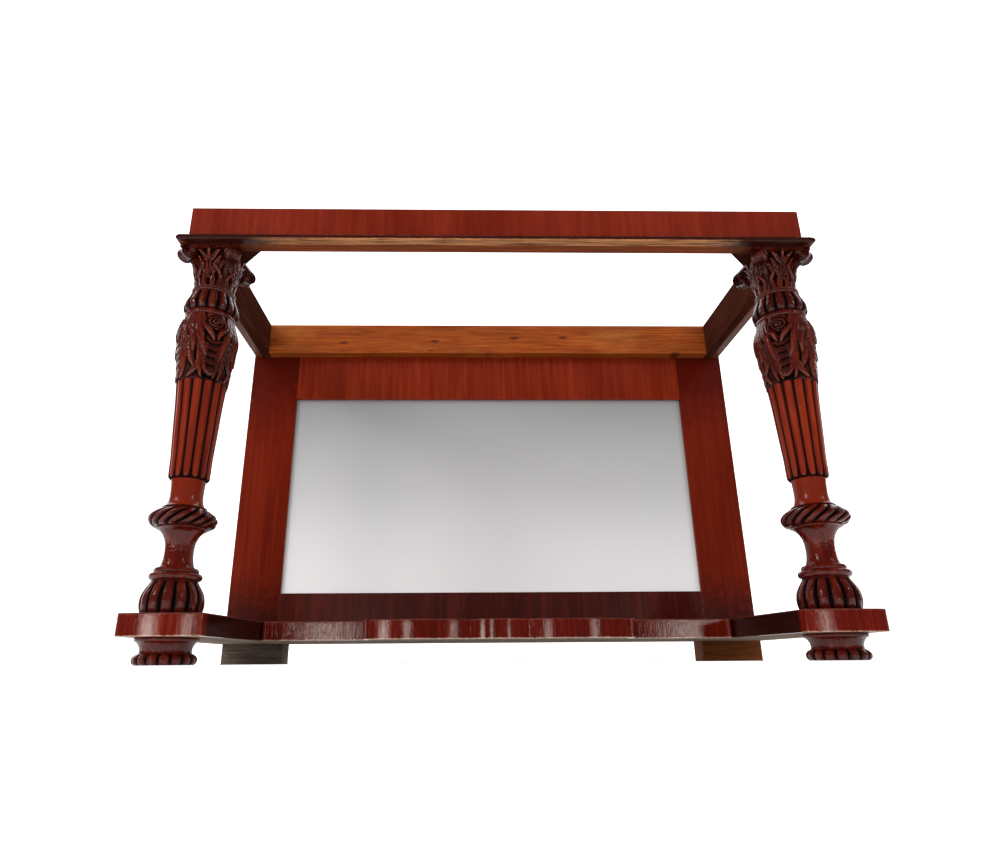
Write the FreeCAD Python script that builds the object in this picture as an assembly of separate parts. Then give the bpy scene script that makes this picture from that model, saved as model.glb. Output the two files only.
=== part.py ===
"""Pier table with a mirror back, in carved mahogany on pine.

A shaped plinth on two turned front feet and two plain back blocks carries a pair of carved columns and a
framed mirror. They hold up a moulded frieze frame, which is open at the top to take a slab.
X runs along the front, Y towards the wall and Z up. The origin is on the floor, under the table's middle.
"""

import FreeCAD, Part
import math
import os

V = FreeCAD.Vector

# ---- driving dimensions, in millimetres ----

# frieze frame
frieze_width = 1250.0
frieze_depth = 537.0
rail_height = 85.0
front_rail_core = 24.5
side_rail_core = 22.5
rear_rail_thickness = 28.0
facing_thickness = 2.5
moulding_height = 12.0
moulding_projection = 17.0
moulding_nose_radius = 2.5
moulding_top_set_back = 3.7
dovetail_count = 3
dovetail_length = 16.0
dovetail_root = 14.0
dovetail_flare = 3.0
stub_tenon_length = 9.0
stub_tenon_thickness = 12.0
stub_tenon_margin = 14.0
corner_block_leg = 114.0
corner_block_drop = 5.0

# column, from the floor up
column_inset_side = 42.0
column_inset_front = 58.0
foot_height = 45.5
foot_radius = 52.0
foot_neck_radius = 41.5
foot_neck_flare = 6.0
foot_ring_radius = 51.5
foot_ring_height = 8.0
foot_lobe_height = 18.0
foot_lobe_count = 16
base_height = 153.0
bulb_height = 58.0
bulb_radius = 53.0
bulb_lobe_count = 14
bulb_ring_radius = 44.5
bulb_ring_height = 13.0
small_ring_radius = 37.5
small_ring_height = 9.0
spool_foot_radius = 30.5
spool_waist_radius = 24.6
spool_flare_radius = 31.0
spool_flare_height = 10.0
spool_lip_radius = 44.0
spool_lip_height = 3.0
rope_height = 38.0
rope_radius = 59.0
rope_lobe_count = 16
rope_lobe_depth = 4.2
rope_twist_degrees = 50.0
shaft_height = 241.0
shaft_neck_height = 48.0
shaft_neck_radius = 28.8
shaft_neck_swell = 1.6
shaft_foot_radius = 36.3
shaft_middle_radius = 40.3
shaft_middle_height = 106.0
shaft_top_radius = 45.8
reed_count = 14
reed_depth = 2.8
reed_nose_height = 11.0
vase_body_height = 142.0
vase_foot_radius = 44.5
vase_belly_radius = 54.0
vase_belly_height = 97.0
vase_upper_radius = 50.5
vase_shoulder_radius = 43.5
vase_leaf_count = 4
vase_leaf_turn_degrees = 8.0
vase_leaf_relief = 5.0
vase_leaf_width = 70.0
vase_leaf_length = 139.0
vase_leaf_stalk = 0.5
scroll_radius = 16.0
scroll_drop = 25.0
scroll_relief = 4.0
husk_width = 46.0
husk_length = 95.0
husk_relief = 3.0
band_height = 12.0
band_projection = 4.0
collar_height = 43.0
collar_radius = 54.5
collar_lobe_count = 16
collar_lobe_depth = 3.0
vase_ring_radius = 42.0
vase_ring_height = 10.0
capital_height = 83.0
capital_width = 118.0
capital_neck_radius = 32.0
capital_waist_radius = 37.5
capital_bell_radius = 50.0
capital_leaf_relief = 4.5
capital_leaf_width = 42.0
capital_leaf_length = 64.0
capital_leaf_stalk = 0.8
abacus_thickness = 5.0
abacus_hollow = 7.0
abacus_corner = 6.0
volute_radius = 15.5
volute_width = 24.0
volute_eye_radius = 4.5
volute_eye_projection = 1.0
volute_set_back = 4.2
volute_drop = 10.7
volute_stem_width = 14.0
volute_stem_projection = 3.5
lobe_depth = 3.2
ring_round = 1.5
joint_overlap = 2.0

# carved profiles, from the bottom up: shares of the piece's radius, of its lobe depth, and of its height
foot_profile = [(0.91, 0.6, 0.0), (0.98, 1.0, 0.22), (1.0, 1.0, 0.48), (0.965, 1.0, 0.75), (0.865, 0.6, 1.0)]
bulb_profile = [
    (0.885, 0.7, 0.0),
    (0.96, 1.0, 0.14),
    (1.0, 1.0, 0.38),
    (0.97, 1.0, 0.58),
    (0.885, 1.0, 0.74),
    (0.79, 0.7, 0.88),
    (0.72, 0.5, 1.0),
]
rope_profile = [
    (0.8, 0.5, 0.0),
    (0.935, 0.8, 0.16),
    (1.0, 1.0, 0.34),
    (0.965, 1.0, 0.52),
    (0.815, 0.8, 0.72),
    (0.65, 0.5, 0.92),
    (0.6, 0.3, 1.0),
]
reed_nose_profile = [(0.825, 0.35, 0.0), (0.95, 0.7, 0.36), (1.0, 1.0, 1.0)]
collar_profile = [
    (0.88, 0.33, 0.0),
    (0.96, 1.0, 0.18),
    (1.0, 1.0, 0.4),
    (0.93, 1.0, 0.62),
    (0.82, 0.67, 0.85),
    (0.77, 0.33, 1.0),
]

# pegs and dowels
peg_radius = 15.0
peg_length = 24.0
capital_dowel_radius = 10.0
capital_dowel_length = 50.0
board_dowel_radius = 6.0
board_dowel_length = 44.0
board_dowel_count = 4
stile_dowel_radius = 5.0
stile_dowel_length = 40.0
stile_dowel_shares = (0.33, 0.67)
fit_clearance = 0.15
end_clearance = 2.0
cut_margin = 1.0

# plinth
plinth_thickness = 37.5
plinth_projection = 25.0
plinth_top_veneer = 2.0
edging_thickness = 6.0
end_block_width = 148.0
end_block_front = 6.0
end_block_bow = 6.0
end_corner_radius = 20.0
return_slant = 24.0
recess_depth = 250.0
lobe_end_depth = 208.0
lobe_nose_depth = 189.0
centre_lobe_half = 58.0
centre_lobe_hollow = 4.75
side_lobe_end = 258.0
bead_radius = 5.0

# mirror frame
back_frame_projection = 20.0
back_frame_thickness = 25.5
stile_width = 124.5
top_rail_width = 210.0
bottom_rail_width = 82.0
mirror_lip = 8.0
mirror_overlap = 8.0
mirror_thickness = 5.0
mirror_clearance = 0.5
backboard_thickness = 8.0
backboard_overlap = 24.0
backboard_count = 3
backboard_gap = 0.6
slip_width = 7.0
tenon_length = 45.0
tenon_thickness = 9.0
tenon_margin = 14.0

# back feet and screws
back_foot_width = 140.0
back_foot_depth = 60.0
back_foot_inset_side = 10.0
back_foot_inset_rear = 2.0
screw_radius = 2.2
screw_head_radius = 4.4
screw_head_depth = 2.6
screw_head_sink = 0.6
screw_clearance = 0.1
backboard_screw_length = 20.0
back_foot_screw_length = 62.0
frame_screw_length = 62.0
back_foot_screw_shares = (0.25, 0.75)
frame_screw_shares = (0.3, 0.7)
backboard_row_shares = (0.25, 0.5, 0.75)

# ---- places that follow from the sizes ----

frieze_half = frieze_width / 2
overall_depth = frieze_depth + moulding_projection
wall_y = overall_depth / 2
frieze_y = wall_y - frieze_depth
back_frame_y = wall_y - back_frame_thickness
rear_rail_y = back_frame_y - rear_rail_thickness
rail_back_y = frieze_y + facing_thickness + front_rail_core
side_inner_x = frieze_half - facing_thickness - side_rail_core

column_x = frieze_half - column_inset_side
column_y = frieze_y + column_inset_front

plinth_bottom = foot_height
plinth_top = plinth_bottom + plinth_thickness
core_top = plinth_top - plinth_top_veneer
base_top = plinth_top + base_height
rope_top = base_top + rope_height
rope_top_radius = rope_radius * rope_profile[-1][0]
shaft_top = rope_top + shaft_height
vase_top = shaft_top + vase_body_height + band_height + collar_height + vase_ring_height
frieze_bottom = vase_top + capital_height
table_top = frieze_bottom + rail_height
moulding_top = frieze_bottom + moulding_height

stile_outer_x = frieze_half + back_frame_projection
stile_inner_x = stile_outer_x - stile_width
sight_bottom = plinth_top + bottom_rail_width
sight_top = table_top - top_rail_width
plinth_half = frieze_half + plinth_projection
end_block_inner_x = plinth_half - end_block_width
return_back_x = end_block_inner_x - return_slant


# ---- helpers ----


def save(shape, node):
    """Writes one sub-part."""
    shape.exportStep("parts/" + node + ".step")


def block(x0, x1, y0, y1, z0, z1):
    """A box between two corners."""
    return Part.makeBox(x1 - x0, y1 - y0, z1 - z0, V(x0, y0, z0))


def mirrored(shape):
    """The same piece on the other side of the table's middle."""
    return shape.mirror(V(0, 0, 0), V(1, 0, 0))


def save_pair(shape, node):
    """Writes a piece that is on the right, and its mirror image on the left."""
    save(shape, node + "_right")
    save(mirrored(shape), node + "_left")


def edges_through(start, moves):
    """Edges from start, flat or in space. A move is the next point, or a pair for an arc's middle and end."""
    edges = []
    here = start
    for move in moves:
        if isinstance(move[0], tuple):
            middle, end = move
            edges.append(Part.Arc(V(*here), V(*middle), V(*end)).toShape())
        else:
            end = move
            edges.append(Part.LineSegment(V(*here), V(*end)).toShape())
        here = end
    return edges


def turned(start, *moves):
    """A turning about Z. Points are (radius, height), from the bottom outwards to the top."""
    foot = (0.0, start[1])
    last = moves[-1][1] if isinstance(moves[-1][0], tuple) else moves[-1]
    wire = Part.Wire(edges_through(foot, [start, *moves, (0.0, last[1]), foot]))
    wire.rotate(V(0, 0, 0), V(1, 0, 0), 90)
    return Part.Face(wire).revolve(V(0, 0, 0), V(0, 0, 1), 360)


def lobed_wire(radius, depth, count, z, turn_degrees):
    """A ring of round lobes, as arcs that meet in valleys."""
    edges = []
    step = 2 * math.pi / count
    for i in range(count):
        a = math.radians(turn_degrees) + i * step
        points = []
        for r, b in ((radius - depth, a - step / 2), (radius, a), (radius - depth, a + step / 2)):
            points.append(V(r * math.cos(b), r * math.sin(b), z))
        edges.append(Part.Arc(*points).toShape())
    return Part.Wire(edges)


def lobed(profile, radius, depth, z, height, count, twist_degrees=0.0):
    """A solid with round lobes, which follows a carved profile upwards from z."""
    wires = []
    for r, d, share in profile:
        wires.append(lobed_wire(radius * r, depth * d, count, z + height * share, twist_degrees * share))
    return Part.makeLoft(wires, True)


def peg(z0, z1, radius=peg_radius):
    """A round pin on the column's own axis."""
    return Part.makeCylinder(radius, z1 - z0, V(0, 0, z0))


def socket(z0, z1, radius=peg_radius):
    """The hole that a pin sits in."""
    return peg(z0, z1, radius + fit_clearance)


def leaf_prism(length, width, stalk, reach):
    """A pointed leaf outline in the YZ plane, drawn out along X to reach. It stands on the origin with a
    stalk that is the given share of its width."""
    half = width / 2
    wide = length * 0.57
    neck = length * 0.86
    start = (0.0, -half * stalk, 0.0)
    moves = [
        ((0.0, -half, wide * 0.55), (0.0, -half * 0.86, wide)),
        ((0.0, -half * 0.45, neck), (0.0, 0.0, length)),
        ((0.0, half * 0.45, neck), (0.0, half * 0.86, wide)),
        ((0.0, half, wide * 0.55), (0.0, half * stalk, 0.0)),
        start,
    ]
    return Part.Face(Part.Wire(edges_through(start, moves))).extrude(V(reach, 0, 0))


def round_the_axis(shape, count, first_degrees=0.0):
    """Copies of a shape, evenly round the column's axis."""
    copies = []
    for i in range(count):
        copy = shape.copy()
        copy.rotate(V(0, 0, 0), V(0, 0, 1), first_degrees + i * 360.0 / count)
        copies.append(copy)
    return copies


def at_column(shape):
    """Moves a piece from the column's own axis to its place on the right."""
    placed = shape.copy()
    placed.translate(V(column_x, column_y, 0))
    return placed


def screw(length, grow=0.0, end=0.0):
    """A countersunk wood screw, sunk below the surface at z = 0, with its point towards -Z."""
    down = V(0, 0, -1)
    top = V(0, 0, -screw_head_sink)
    neck = V(0, 0, -screw_head_sink - screw_head_depth)
    head = Part.makeCone(screw_head_radius + grow, screw_radius + grow, screw_head_depth, top, down)
    shank = Part.makeCylinder(screw_radius + grow, length - screw_head_depth + end, neck, down)
    return head.fuse(shank).removeSplitter()


def screw_hole(length):
    """The hole for such a screw, a little wider and deeper, and open at the surface."""
    mouth = Part.makeCylinder(screw_head_radius + screw_clearance, screw_head_sink, V(0, 0, 0), V(0, 0, -1))
    return screw(length, screw_clearance, end_clearance).fuse(mouth)


def placed(shape, x, y, z, axis=None, degrees=0.0):
    """A copy that is turned about the origin and then moved."""
    copy = shape.copy()
    if axis is not None:
        copy.rotate(V(0, 0, 0), V(*axis), degrees)
    copy.translate(V(x, y, z))
    return copy


# ---- columns ----

def front_foot():
    """Lobed bun, hollow neck and ring, with a pin that goes up through the plinth into the base turning."""
    low = foot_lobe_height
    lobes = lobed(foot_profile, foot_radius, lobe_depth, 0.0, low, foot_lobe_count)
    ring_z = foot_height - foot_ring_height
    ring_middle = ring_z + foot_ring_height / 2
    waist_z = low + (ring_z - low) / 3
    neck = turned(
        (foot_neck_radius, low - 2 * joint_overlap),
        (foot_neck_radius, low),
        ((foot_neck_radius, waist_z), (foot_neck_radius + foot_neck_flare, ring_z)),
        (foot_ring_radius - ring_round, ring_z),
        ((foot_ring_radius, ring_middle), (foot_ring_radius - ring_round, foot_height)),
    )
    pin = peg(ring_z, plinth_top + peg_length)
    return lobes.fuse([neck, pin]).removeSplitter()


def base_turning():
    """Lobed bulb, two rings and a waisted spool, with a pin up through the rope ring into the shaft."""
    z = plinth_top
    bulb = lobed(bulb_profile, bulb_radius, lobe_depth, z, bulb_height, bulb_lobe_count)
    neck_radius = bulb_radius * bulb_profile[-1][0] - lobe_depth
    ring = z + bulb_height
    small = ring + bulb_ring_height
    spool = small + small_ring_height
    lip = base_top - spool_lip_height
    flare = lip - spool_flare_height
    flare_middle = (spool_flare_radius + spool_flare_height * 0.4, lip - spool_flare_height * 0.35)
    turning = turned(
        (neck_radius, ring - joint_overlap),
        (neck_radius + joint_overlap, ring + joint_overlap),
        (bulb_ring_radius - ring_round, ring + 2 * joint_overlap),
        ((bulb_ring_radius, ring + bulb_ring_height * 0.6), (bulb_ring_radius - 2 * ring_round, small)),
        (small_ring_radius - ring_round, small),
        ((small_ring_radius, (small + spool) / 2), (small_ring_radius - ring_round, spool)),
        (spool_foot_radius, spool),
        ((spool_waist_radius, (spool + flare) / 2), (spool_flare_radius, flare)),
        (flare_middle, (spool_lip_radius, lip)),
        (spool_lip_radius, base_top),
    )
    pin = peg(base_top - joint_overlap, rope_top + peg_length)
    hole = socket(z, z + peg_length + end_clearance)
    return bulb.fuse([turning, pin]).cut(hole).removeSplitter()


def rope_ring():
    """A collar carved with slanting lobes, threaded on the base turning's pin."""
    ring = lobed(
        rope_profile, rope_radius, rope_lobe_depth, base_top, rope_height, rope_lobe_count, rope_twist_degrees
    )
    return ring.cut(socket(base_top, rope_top))


def reeded_shaft():
    """A tapering reeded shaft, whose reeds end in round noses above a plain flared neck."""
    z = rope_top
    nose = z + shaft_neck_height
    taper = nose + reed_nose_height
    reeds = lobed(reed_nose_profile, shaft_foot_radius, reed_depth, nose, reed_nose_height, reed_count)
    taper_rows = [
        (shaft_foot_radius, taper),
        (shaft_middle_radius, nose + shaft_middle_height),
        (shaft_top_radius, shaft_top),
    ]
    wires = [lobed_wire(radius, reed_depth, reed_count, height, 0.0) for radius, height in taper_rows]
    reeds = reeds.fuse(Part.makeLoft(wires, True, True))
    neck_flare = (shaft_neck_radius + shaft_neck_swell, z + shaft_neck_height * 0.22)
    neck = turned(
        (rope_top_radius, z),
        (neck_flare, (shaft_neck_radius, z + shaft_neck_height / 2)),
        (shaft_neck_radius + shaft_neck_swell, taper),
    )
    pin = peg(shaft_top - joint_overlap, shaft_top + peg_length)
    return reeds.fuse([neck, pin]).cut(socket(z, z + peg_length + end_clearance)).removeSplitter()


def vase_skin(grow):
    """The plain turned body of the vase, larger all round by grow."""
    z = shaft_top
    top = z + vase_body_height
    belly = z + vase_belly_height
    return turned(
        (vase_foot_radius + grow, z),
        (vase_belly_radius + grow, belly),
        ((vase_upper_radius + grow, (belly + top) / 2), (vase_shoulder_radius + grow, top)),
    )


def leaf_vase():
    """A vase under a band, a lobed collar and a small ring. Four long leaves hang over it, and between them
    are scrolls with broad husks below."""
    z = shaft_top
    body_top = z + vase_body_height
    band_top = body_top + band_height
    collar_top = band_top + collar_height
    body = vase_skin(0.0)
    reach = 2 * vase_belly_radius
    leaf = leaf_prism(vase_leaf_length, vase_leaf_width, vase_leaf_stalk, reach)
    leaf.rotate(V(0, 0, 0), V(1, 0, 0), 180)
    leaf.translate(V(0, 0, body_top))
    scroll = Part.makeCylinder(scroll_radius, reach, V(0, 0, body_top - scroll_drop), V(1, 0, 0))
    husk = leaf_prism(husk_length, husk_width, 1.0, reach)
    husk.translate(V(0, 0, z))
    between = vase_leaf_turn_degrees + 180.0 / vase_leaf_count
    carving = []
    for outline, relief, turn in (
        (leaf, vase_leaf_relief, vase_leaf_turn_degrees),
        (scroll, scroll_relief, between),
        (husk, husk_relief, between),
    ):
        coat = vase_skin(relief).cut(body)
        carving += [coat.common(one) for one in round_the_axis(outline, vase_leaf_count, turn)]
    band_radius = vase_shoulder_radius + band_projection
    band_edge = band_radius - ring_round
    band = turned(
        (vase_shoulder_radius, body_top - joint_overlap),
        (band_edge, body_top),
        ((band_radius, (body_top + band_top) / 2), (band_edge, band_top)),
    )
    collar = lobed(
        collar_profile, collar_radius, collar_lobe_depth, band_top, collar_height, collar_lobe_count
    )
    ring_edge = vase_ring_radius - ring_round
    ring = turned(
        (ring_edge - ring_round, collar_top - joint_overlap),
        (ring_edge, collar_top),
        ((vase_ring_radius, (collar_top + vase_top) / 2), (ring_edge, vase_top)),
    )
    pin = peg(vase_top - joint_overlap, vase_top + peg_length)
    whole = body.fuse(carving + [band, collar, ring, pin])
    return whole.cut(socket(z, z + peg_length + end_clearance))


def volute():
    """A corner scroll: a roll that lies across the corner, on a hollow stem that rises from the neck."""
    reach = capital_width / 2 * math.sqrt(2) - volute_radius - volute_set_back
    z = frieze_bottom - abacus_thickness - volute_drop
    low = z - volute_radius / 2
    high = z + volute_radius / 2
    across = V(0, 1, 0)
    roll = Part.makeCylinder(volute_radius, volute_width, V(reach, -volute_width / 2, z), across)
    eye_side = volute_width / 2 + volute_eye_projection
    eye = Part.makeCylinder(volute_eye_radius, 2 * eye_side, V(reach, -eye_side, z), across)
    inside = capital_neck_radius - volute_stem_projection
    foot = capital_neck_radius + volute_stem_projection
    middle = capital_waist_radius + volute_stem_projection
    start = (foot, -volute_stem_width / 2, vase_top)
    moves = [
        ((middle, start[1], (vase_top + z) / 2), (reach, start[1], low)),
        (reach, start[1], high),
        (inside, start[1], high),
        (inside, start[1], vase_top),
        start,
    ]
    stem = Part.Face(Part.Wire(edges_through(start, moves))).extrude(V(0, volute_stem_width, 0))
    return roll.fuse([eye, stem])


def bell_skin(grow):
    """The capital's bell, larger all round by grow."""
    z = vase_top
    bell_top = frieze_bottom - abacus_thickness
    return turned(
        (capital_neck_radius + grow, z),
        ((capital_waist_radius + grow, (z + bell_top) / 2), (capital_bell_radius + grow, bell_top)),
    )


def capital():
    """A four-sided capital: hollow-sided top plate, corner scrolls on stems, and a leaf on each face."""
    z = vase_top
    half = capital_width / 2
    bell_top = frieze_bottom - abacus_thickness
    bell = bell_skin(0.0)
    coat = bell_skin(capital_leaf_relief).cut(bell)
    leaf = leaf_prism(capital_leaf_length, capital_leaf_width, capital_leaf_stalk, capital_width)
    leaf.translate(V(0, 0, z))
    leaves = [coat.common(one) for one in round_the_axis(leaf, 4)]
    corner = half - abacus_corner
    hollow = half - abacus_hollow
    start = (-corner, -half, bell_top)
    moves = [
        ((0.0, -hollow, bell_top), (corner, -half, bell_top)),
        (half, -corner, bell_top),
        ((hollow, 0.0, bell_top), (half, corner, bell_top)),
        (corner, half, bell_top),
        ((0.0, hollow, bell_top), (-corner, half, bell_top)),
        (-half, corner, bell_top),
        ((-hollow, 0.0, bell_top), (-half, -corner, bell_top)),
        start,
    ]
    abacus = Part.Face(Part.Wire(edges_through(start, moves))).extrude(V(0, 0, abacus_thickness))
    whole = bell.fuse(leaves + round_the_axis(volute(), 4, 45.0) + [abacus])
    whole = whole.cut(socket(z, z + peg_length + end_clearance))
    dowel_bottom = frieze_bottom - capital_dowel_length / 2 - end_clearance
    return whole.cut(socket(dowel_bottom, frieze_bottom, capital_dowel_radius))


def columns():
    """Both columns, their feet, and the dowels that hold the capitals to the frieze."""
    makers = {
        "front_foot": front_foot,
        "base_turning": base_turning,
        "reeded_shaft": reeded_shaft,
        "leaf_vase": leaf_vase,
        "capital": capital,
    }
    for node, make in makers.items():
        save_pair(at_column(make()), node)
    rope = at_column(rope_ring())
    save(rope, "rope_ring_right")
    rope.translate(V(-2 * column_x, 0, 0))
    save(rope, "rope_ring_left")
    half = capital_dowel_length / 2
    dowel = at_column(peg(frieze_bottom - half, frieze_bottom + half, capital_dowel_radius))
    save(Part.makeCompound([dowel, mirrored(dowel)]), "capital_dowels")


# ---- plinth ----


def reflected(start, moves):
    """The moves that lead from the far side of x = 0 back to start, as the mirror image of these moves."""
    ends = [start] + [m[1] if isinstance(m[0], tuple) else m for m in moves]
    back = []
    for move, (x, y) in zip(reversed(moves), reversed(ends[:-1])):
        if isinstance(move[0], tuple):
            back.append(((-move[0][0], move[0][1]), (-x, y)))
        else:
            back.append((-x, y))
    return back


def plinth_slab(inset, z0, z1):
    """The plinth between two heights. Inset moves its shaped front, its returns and its ends inwards."""
    half = plinth_half - inset
    inner = end_block_inner_x + inset
    back_inner = return_back_x + inset
    front = frieze_y - end_block_front + inset
    corner = end_corner_radius - inset
    cut_off = corner * (1 - math.sqrt(0.5))
    bow_x = (inner + half - corner) / 2
    deep = frieze_y + recess_depth + inset
    ends = frieze_y + lobe_end_depth + inset
    nose = frieze_y + lobe_nose_depth + inset
    side_mid = (centre_lobe_half + side_lobe_end) / 2
    step_x = side_lobe_end + bead_radius * 2 - inset
    step_bead = (step_x - side_lobe_end) / 2
    centre = (0.0, nose)
    right = [
        ((centre_lobe_half / 2, nose + centre_lobe_hollow), (centre_lobe_half, ends)),
        ((side_mid, nose), (side_lobe_end, ends)),
        ((side_lobe_end + step_bead, ends - step_bead), (step_x, ends)),
        (step_x, deep),
        (back_inner - bead_radius * 2, deep),
        ((back_inner - bead_radius, deep - bead_radius), (back_inner, deep)),
        (inner, front),
        ((bow_x, front - end_block_bow), (half - corner, front)),
        ((half - cut_off, front + cut_off), (half, front + corner)),
        (half, wall_y),
    ]
    path = right + [(-half, wall_y)] + reflected(centre, right)
    slab = Part.Face(Part.Wire(edges_through(centre, path))).extrude(V(0, 0, z1 - z0))
    slab.translate(V(0, 0, z0))
    return slab


def plinth():
    """Two end boards and a centre board, dowelled, with shaped edging and a veneered top."""
    core = plinth_slab(edging_thickness, plinth_bottom, core_top)
    edging = plinth_slab(0.0, plinth_bottom, core_top).cut(core)
    pin_hole = at_column(socket(plinth_bottom, plinth_top))
    seam_x = return_back_x + edging_thickness
    front = frieze_y + recess_depth + edging_thickness
    dowel_z = (plinth_bottom + core_top) / 2
    along = V(1, 0, 0)
    dowels = []
    holes = []
    for i in range(board_dowel_count):
        y = front + (wall_y - front) * (i + 0.5) / board_dowel_count
        start = V(seam_x - board_dowel_length / 2, y, dowel_z)
        dowels.append(Part.makeCylinder(board_dowel_radius, board_dowel_length, start, along))
        length = board_dowel_length + 2 * end_clearance
        start = V(seam_x - length / 2, y, dowel_z)
        holes.append(Part.makeCylinder(board_dowel_radius + fit_clearance, length, start, along))
    stile_pins, stile_holes = stile_dowels()
    holes += stile_holes + back_foot_screws()[1]

    far = plinth_half + cut_margin
    front_y = frieze_y - end_block_front - end_block_bow - cut_margin

    def zone(x0, x1):
        return block(x0, x1, front_y, wall_y, plinth_bottom - cut_margin, plinth_top + cut_margin)

    save_pair(core.common(zone(seam_x, far)).cut(holes + [pin_hole]), "plinth_end_board")
    centre = core.common(zone(-seam_x, seam_x)).cut(holes + [mirrored(h) for h in holes])
    save(centre, "plinth_centre_board")
    save(edging.common(zone(-return_back_x, return_back_x)), "plinth_front_edging")
    save_pair(edging.common(zone(return_back_x, far)), "plinth_end_edging")
    cuts = [pin_hole] + stile_holes
    veneer = plinth_slab(0.0, core_top, plinth_top).cut(cuts + [mirrored(c) for c in cuts])
    save(veneer, "plinth_top_veneer")
    save(Part.makeCompound(dowels + [mirrored(d) for d in dowels]), "plinth_dowels")
    save(Part.makeCompound(stile_pins + [mirrored(p) for p in stile_pins]), "stile_dowels")


def stile_dowels():
    """Dowels on the right between the stile's foot and the plinth, and their holes."""
    half = stile_dowel_length / 2
    y = back_frame_y + back_frame_thickness / 2
    clear_of_tenon = stile_inner_x + tenon_length
    pins = []
    holes = []
    for share in stile_dowel_shares:
        x = clear_of_tenon + (stile_outer_x - clear_of_tenon) * share
        pins.append(Part.makeCylinder(stile_dowel_radius, stile_dowel_length, V(x, y, plinth_top - half)))
        holes.append(
            Part.makeCylinder(
                stile_dowel_radius + fit_clearance,
                stile_dowel_length + end_clearance,
                V(x, y, plinth_top - half - end_clearance / 2),
            )
        )
    return pins, holes


def back_foot_screws():
    """Screws on the right, up through the back foot into the plinth, and their holes."""
    screws = []
    holes = []
    y = wall_y - back_foot_inset_rear - back_foot_depth / 2
    inner = stile_outer_x - back_foot_inset_side - back_foot_width
    for share in back_foot_screw_shares:
        x = inner + back_foot_width * share
        screws.append(placed(screw(back_foot_screw_length), x, y, 0.0, (1, 0, 0), 180))
        holes.append(placed(screw_hole(back_foot_screw_length), x, y, 0.0, (1, 0, 0), 180))
    return screws, holes


def back_feet():
    """Plain blocks under the back corners of the plinth."""
    screws, holes = back_foot_screws()
    outer = stile_outer_x - back_foot_inset_side
    rear = wall_y - back_foot_inset_rear
    foot = block(outer - back_foot_width, outer, rear - back_foot_depth, rear, 0.0, plinth_bottom)
    save_pair(foot.cut(holes), "back_foot")
    save(Part.makeCompound(screws + [mirrored(s) for s in screws]), "back_foot_screws")


# ---- frieze frame ----


def dovetails(grow):
    """The tails on the front end of the right side rail. Grow makes them larger, to cut their sockets."""
    tails = []
    pitch = rail_height / dovetail_count
    y_front = rail_back_y - dovetail_length - grow
    for i in range(dovetail_count):
        z = frieze_bottom + pitch * (i + 0.5)
        root = dovetail_root / 2 + grow
        tip = root + dovetail_flare
        corners = [(rail_back_y, z - root), (y_front, z - tip), (y_front, z + tip), (rail_back_y, z + root)]
        points = [V(side_inner_x, y, h) for y, h in corners]
        tails.append(Part.Face(Part.makePolygon(points + points[:1])).extrude(V(side_rail_core, 0, 0)))
    return tails


def moulding_section():
    """The nosed section, in the YZ plane with the frieze's face at y = 0 and the nose towards -Y. The nose is
    at the foot. The face starts upright above it and curves back to the top."""
    nose = -moulding_projection
    r = moulding_nose_radius
    nip = r * (1 - math.sqrt(0.5))
    back = moulding_top_set_back
    rise = moulding_height - r
    curve = (back**2 + rise**2) / (2 * back)
    half_turn = math.asin(rise / curve) / 2
    middle = (0.0, nose + curve * (1 - math.cos(half_turn)), r + curve * math.sin(half_turn))
    start = (0.0, facing_thickness, 0.0)
    moves = [
        (0.0, facing_thickness, moulding_height),
        (0.0, nose + back, moulding_height),
        (middle, (0.0, nose, r)),
        ((0.0, nose + nip, nip), (0.0, nose + r, 0.0)),
        start,
    ]
    return Part.Face(Part.Wire(edges_through(start, moves)))


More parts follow.
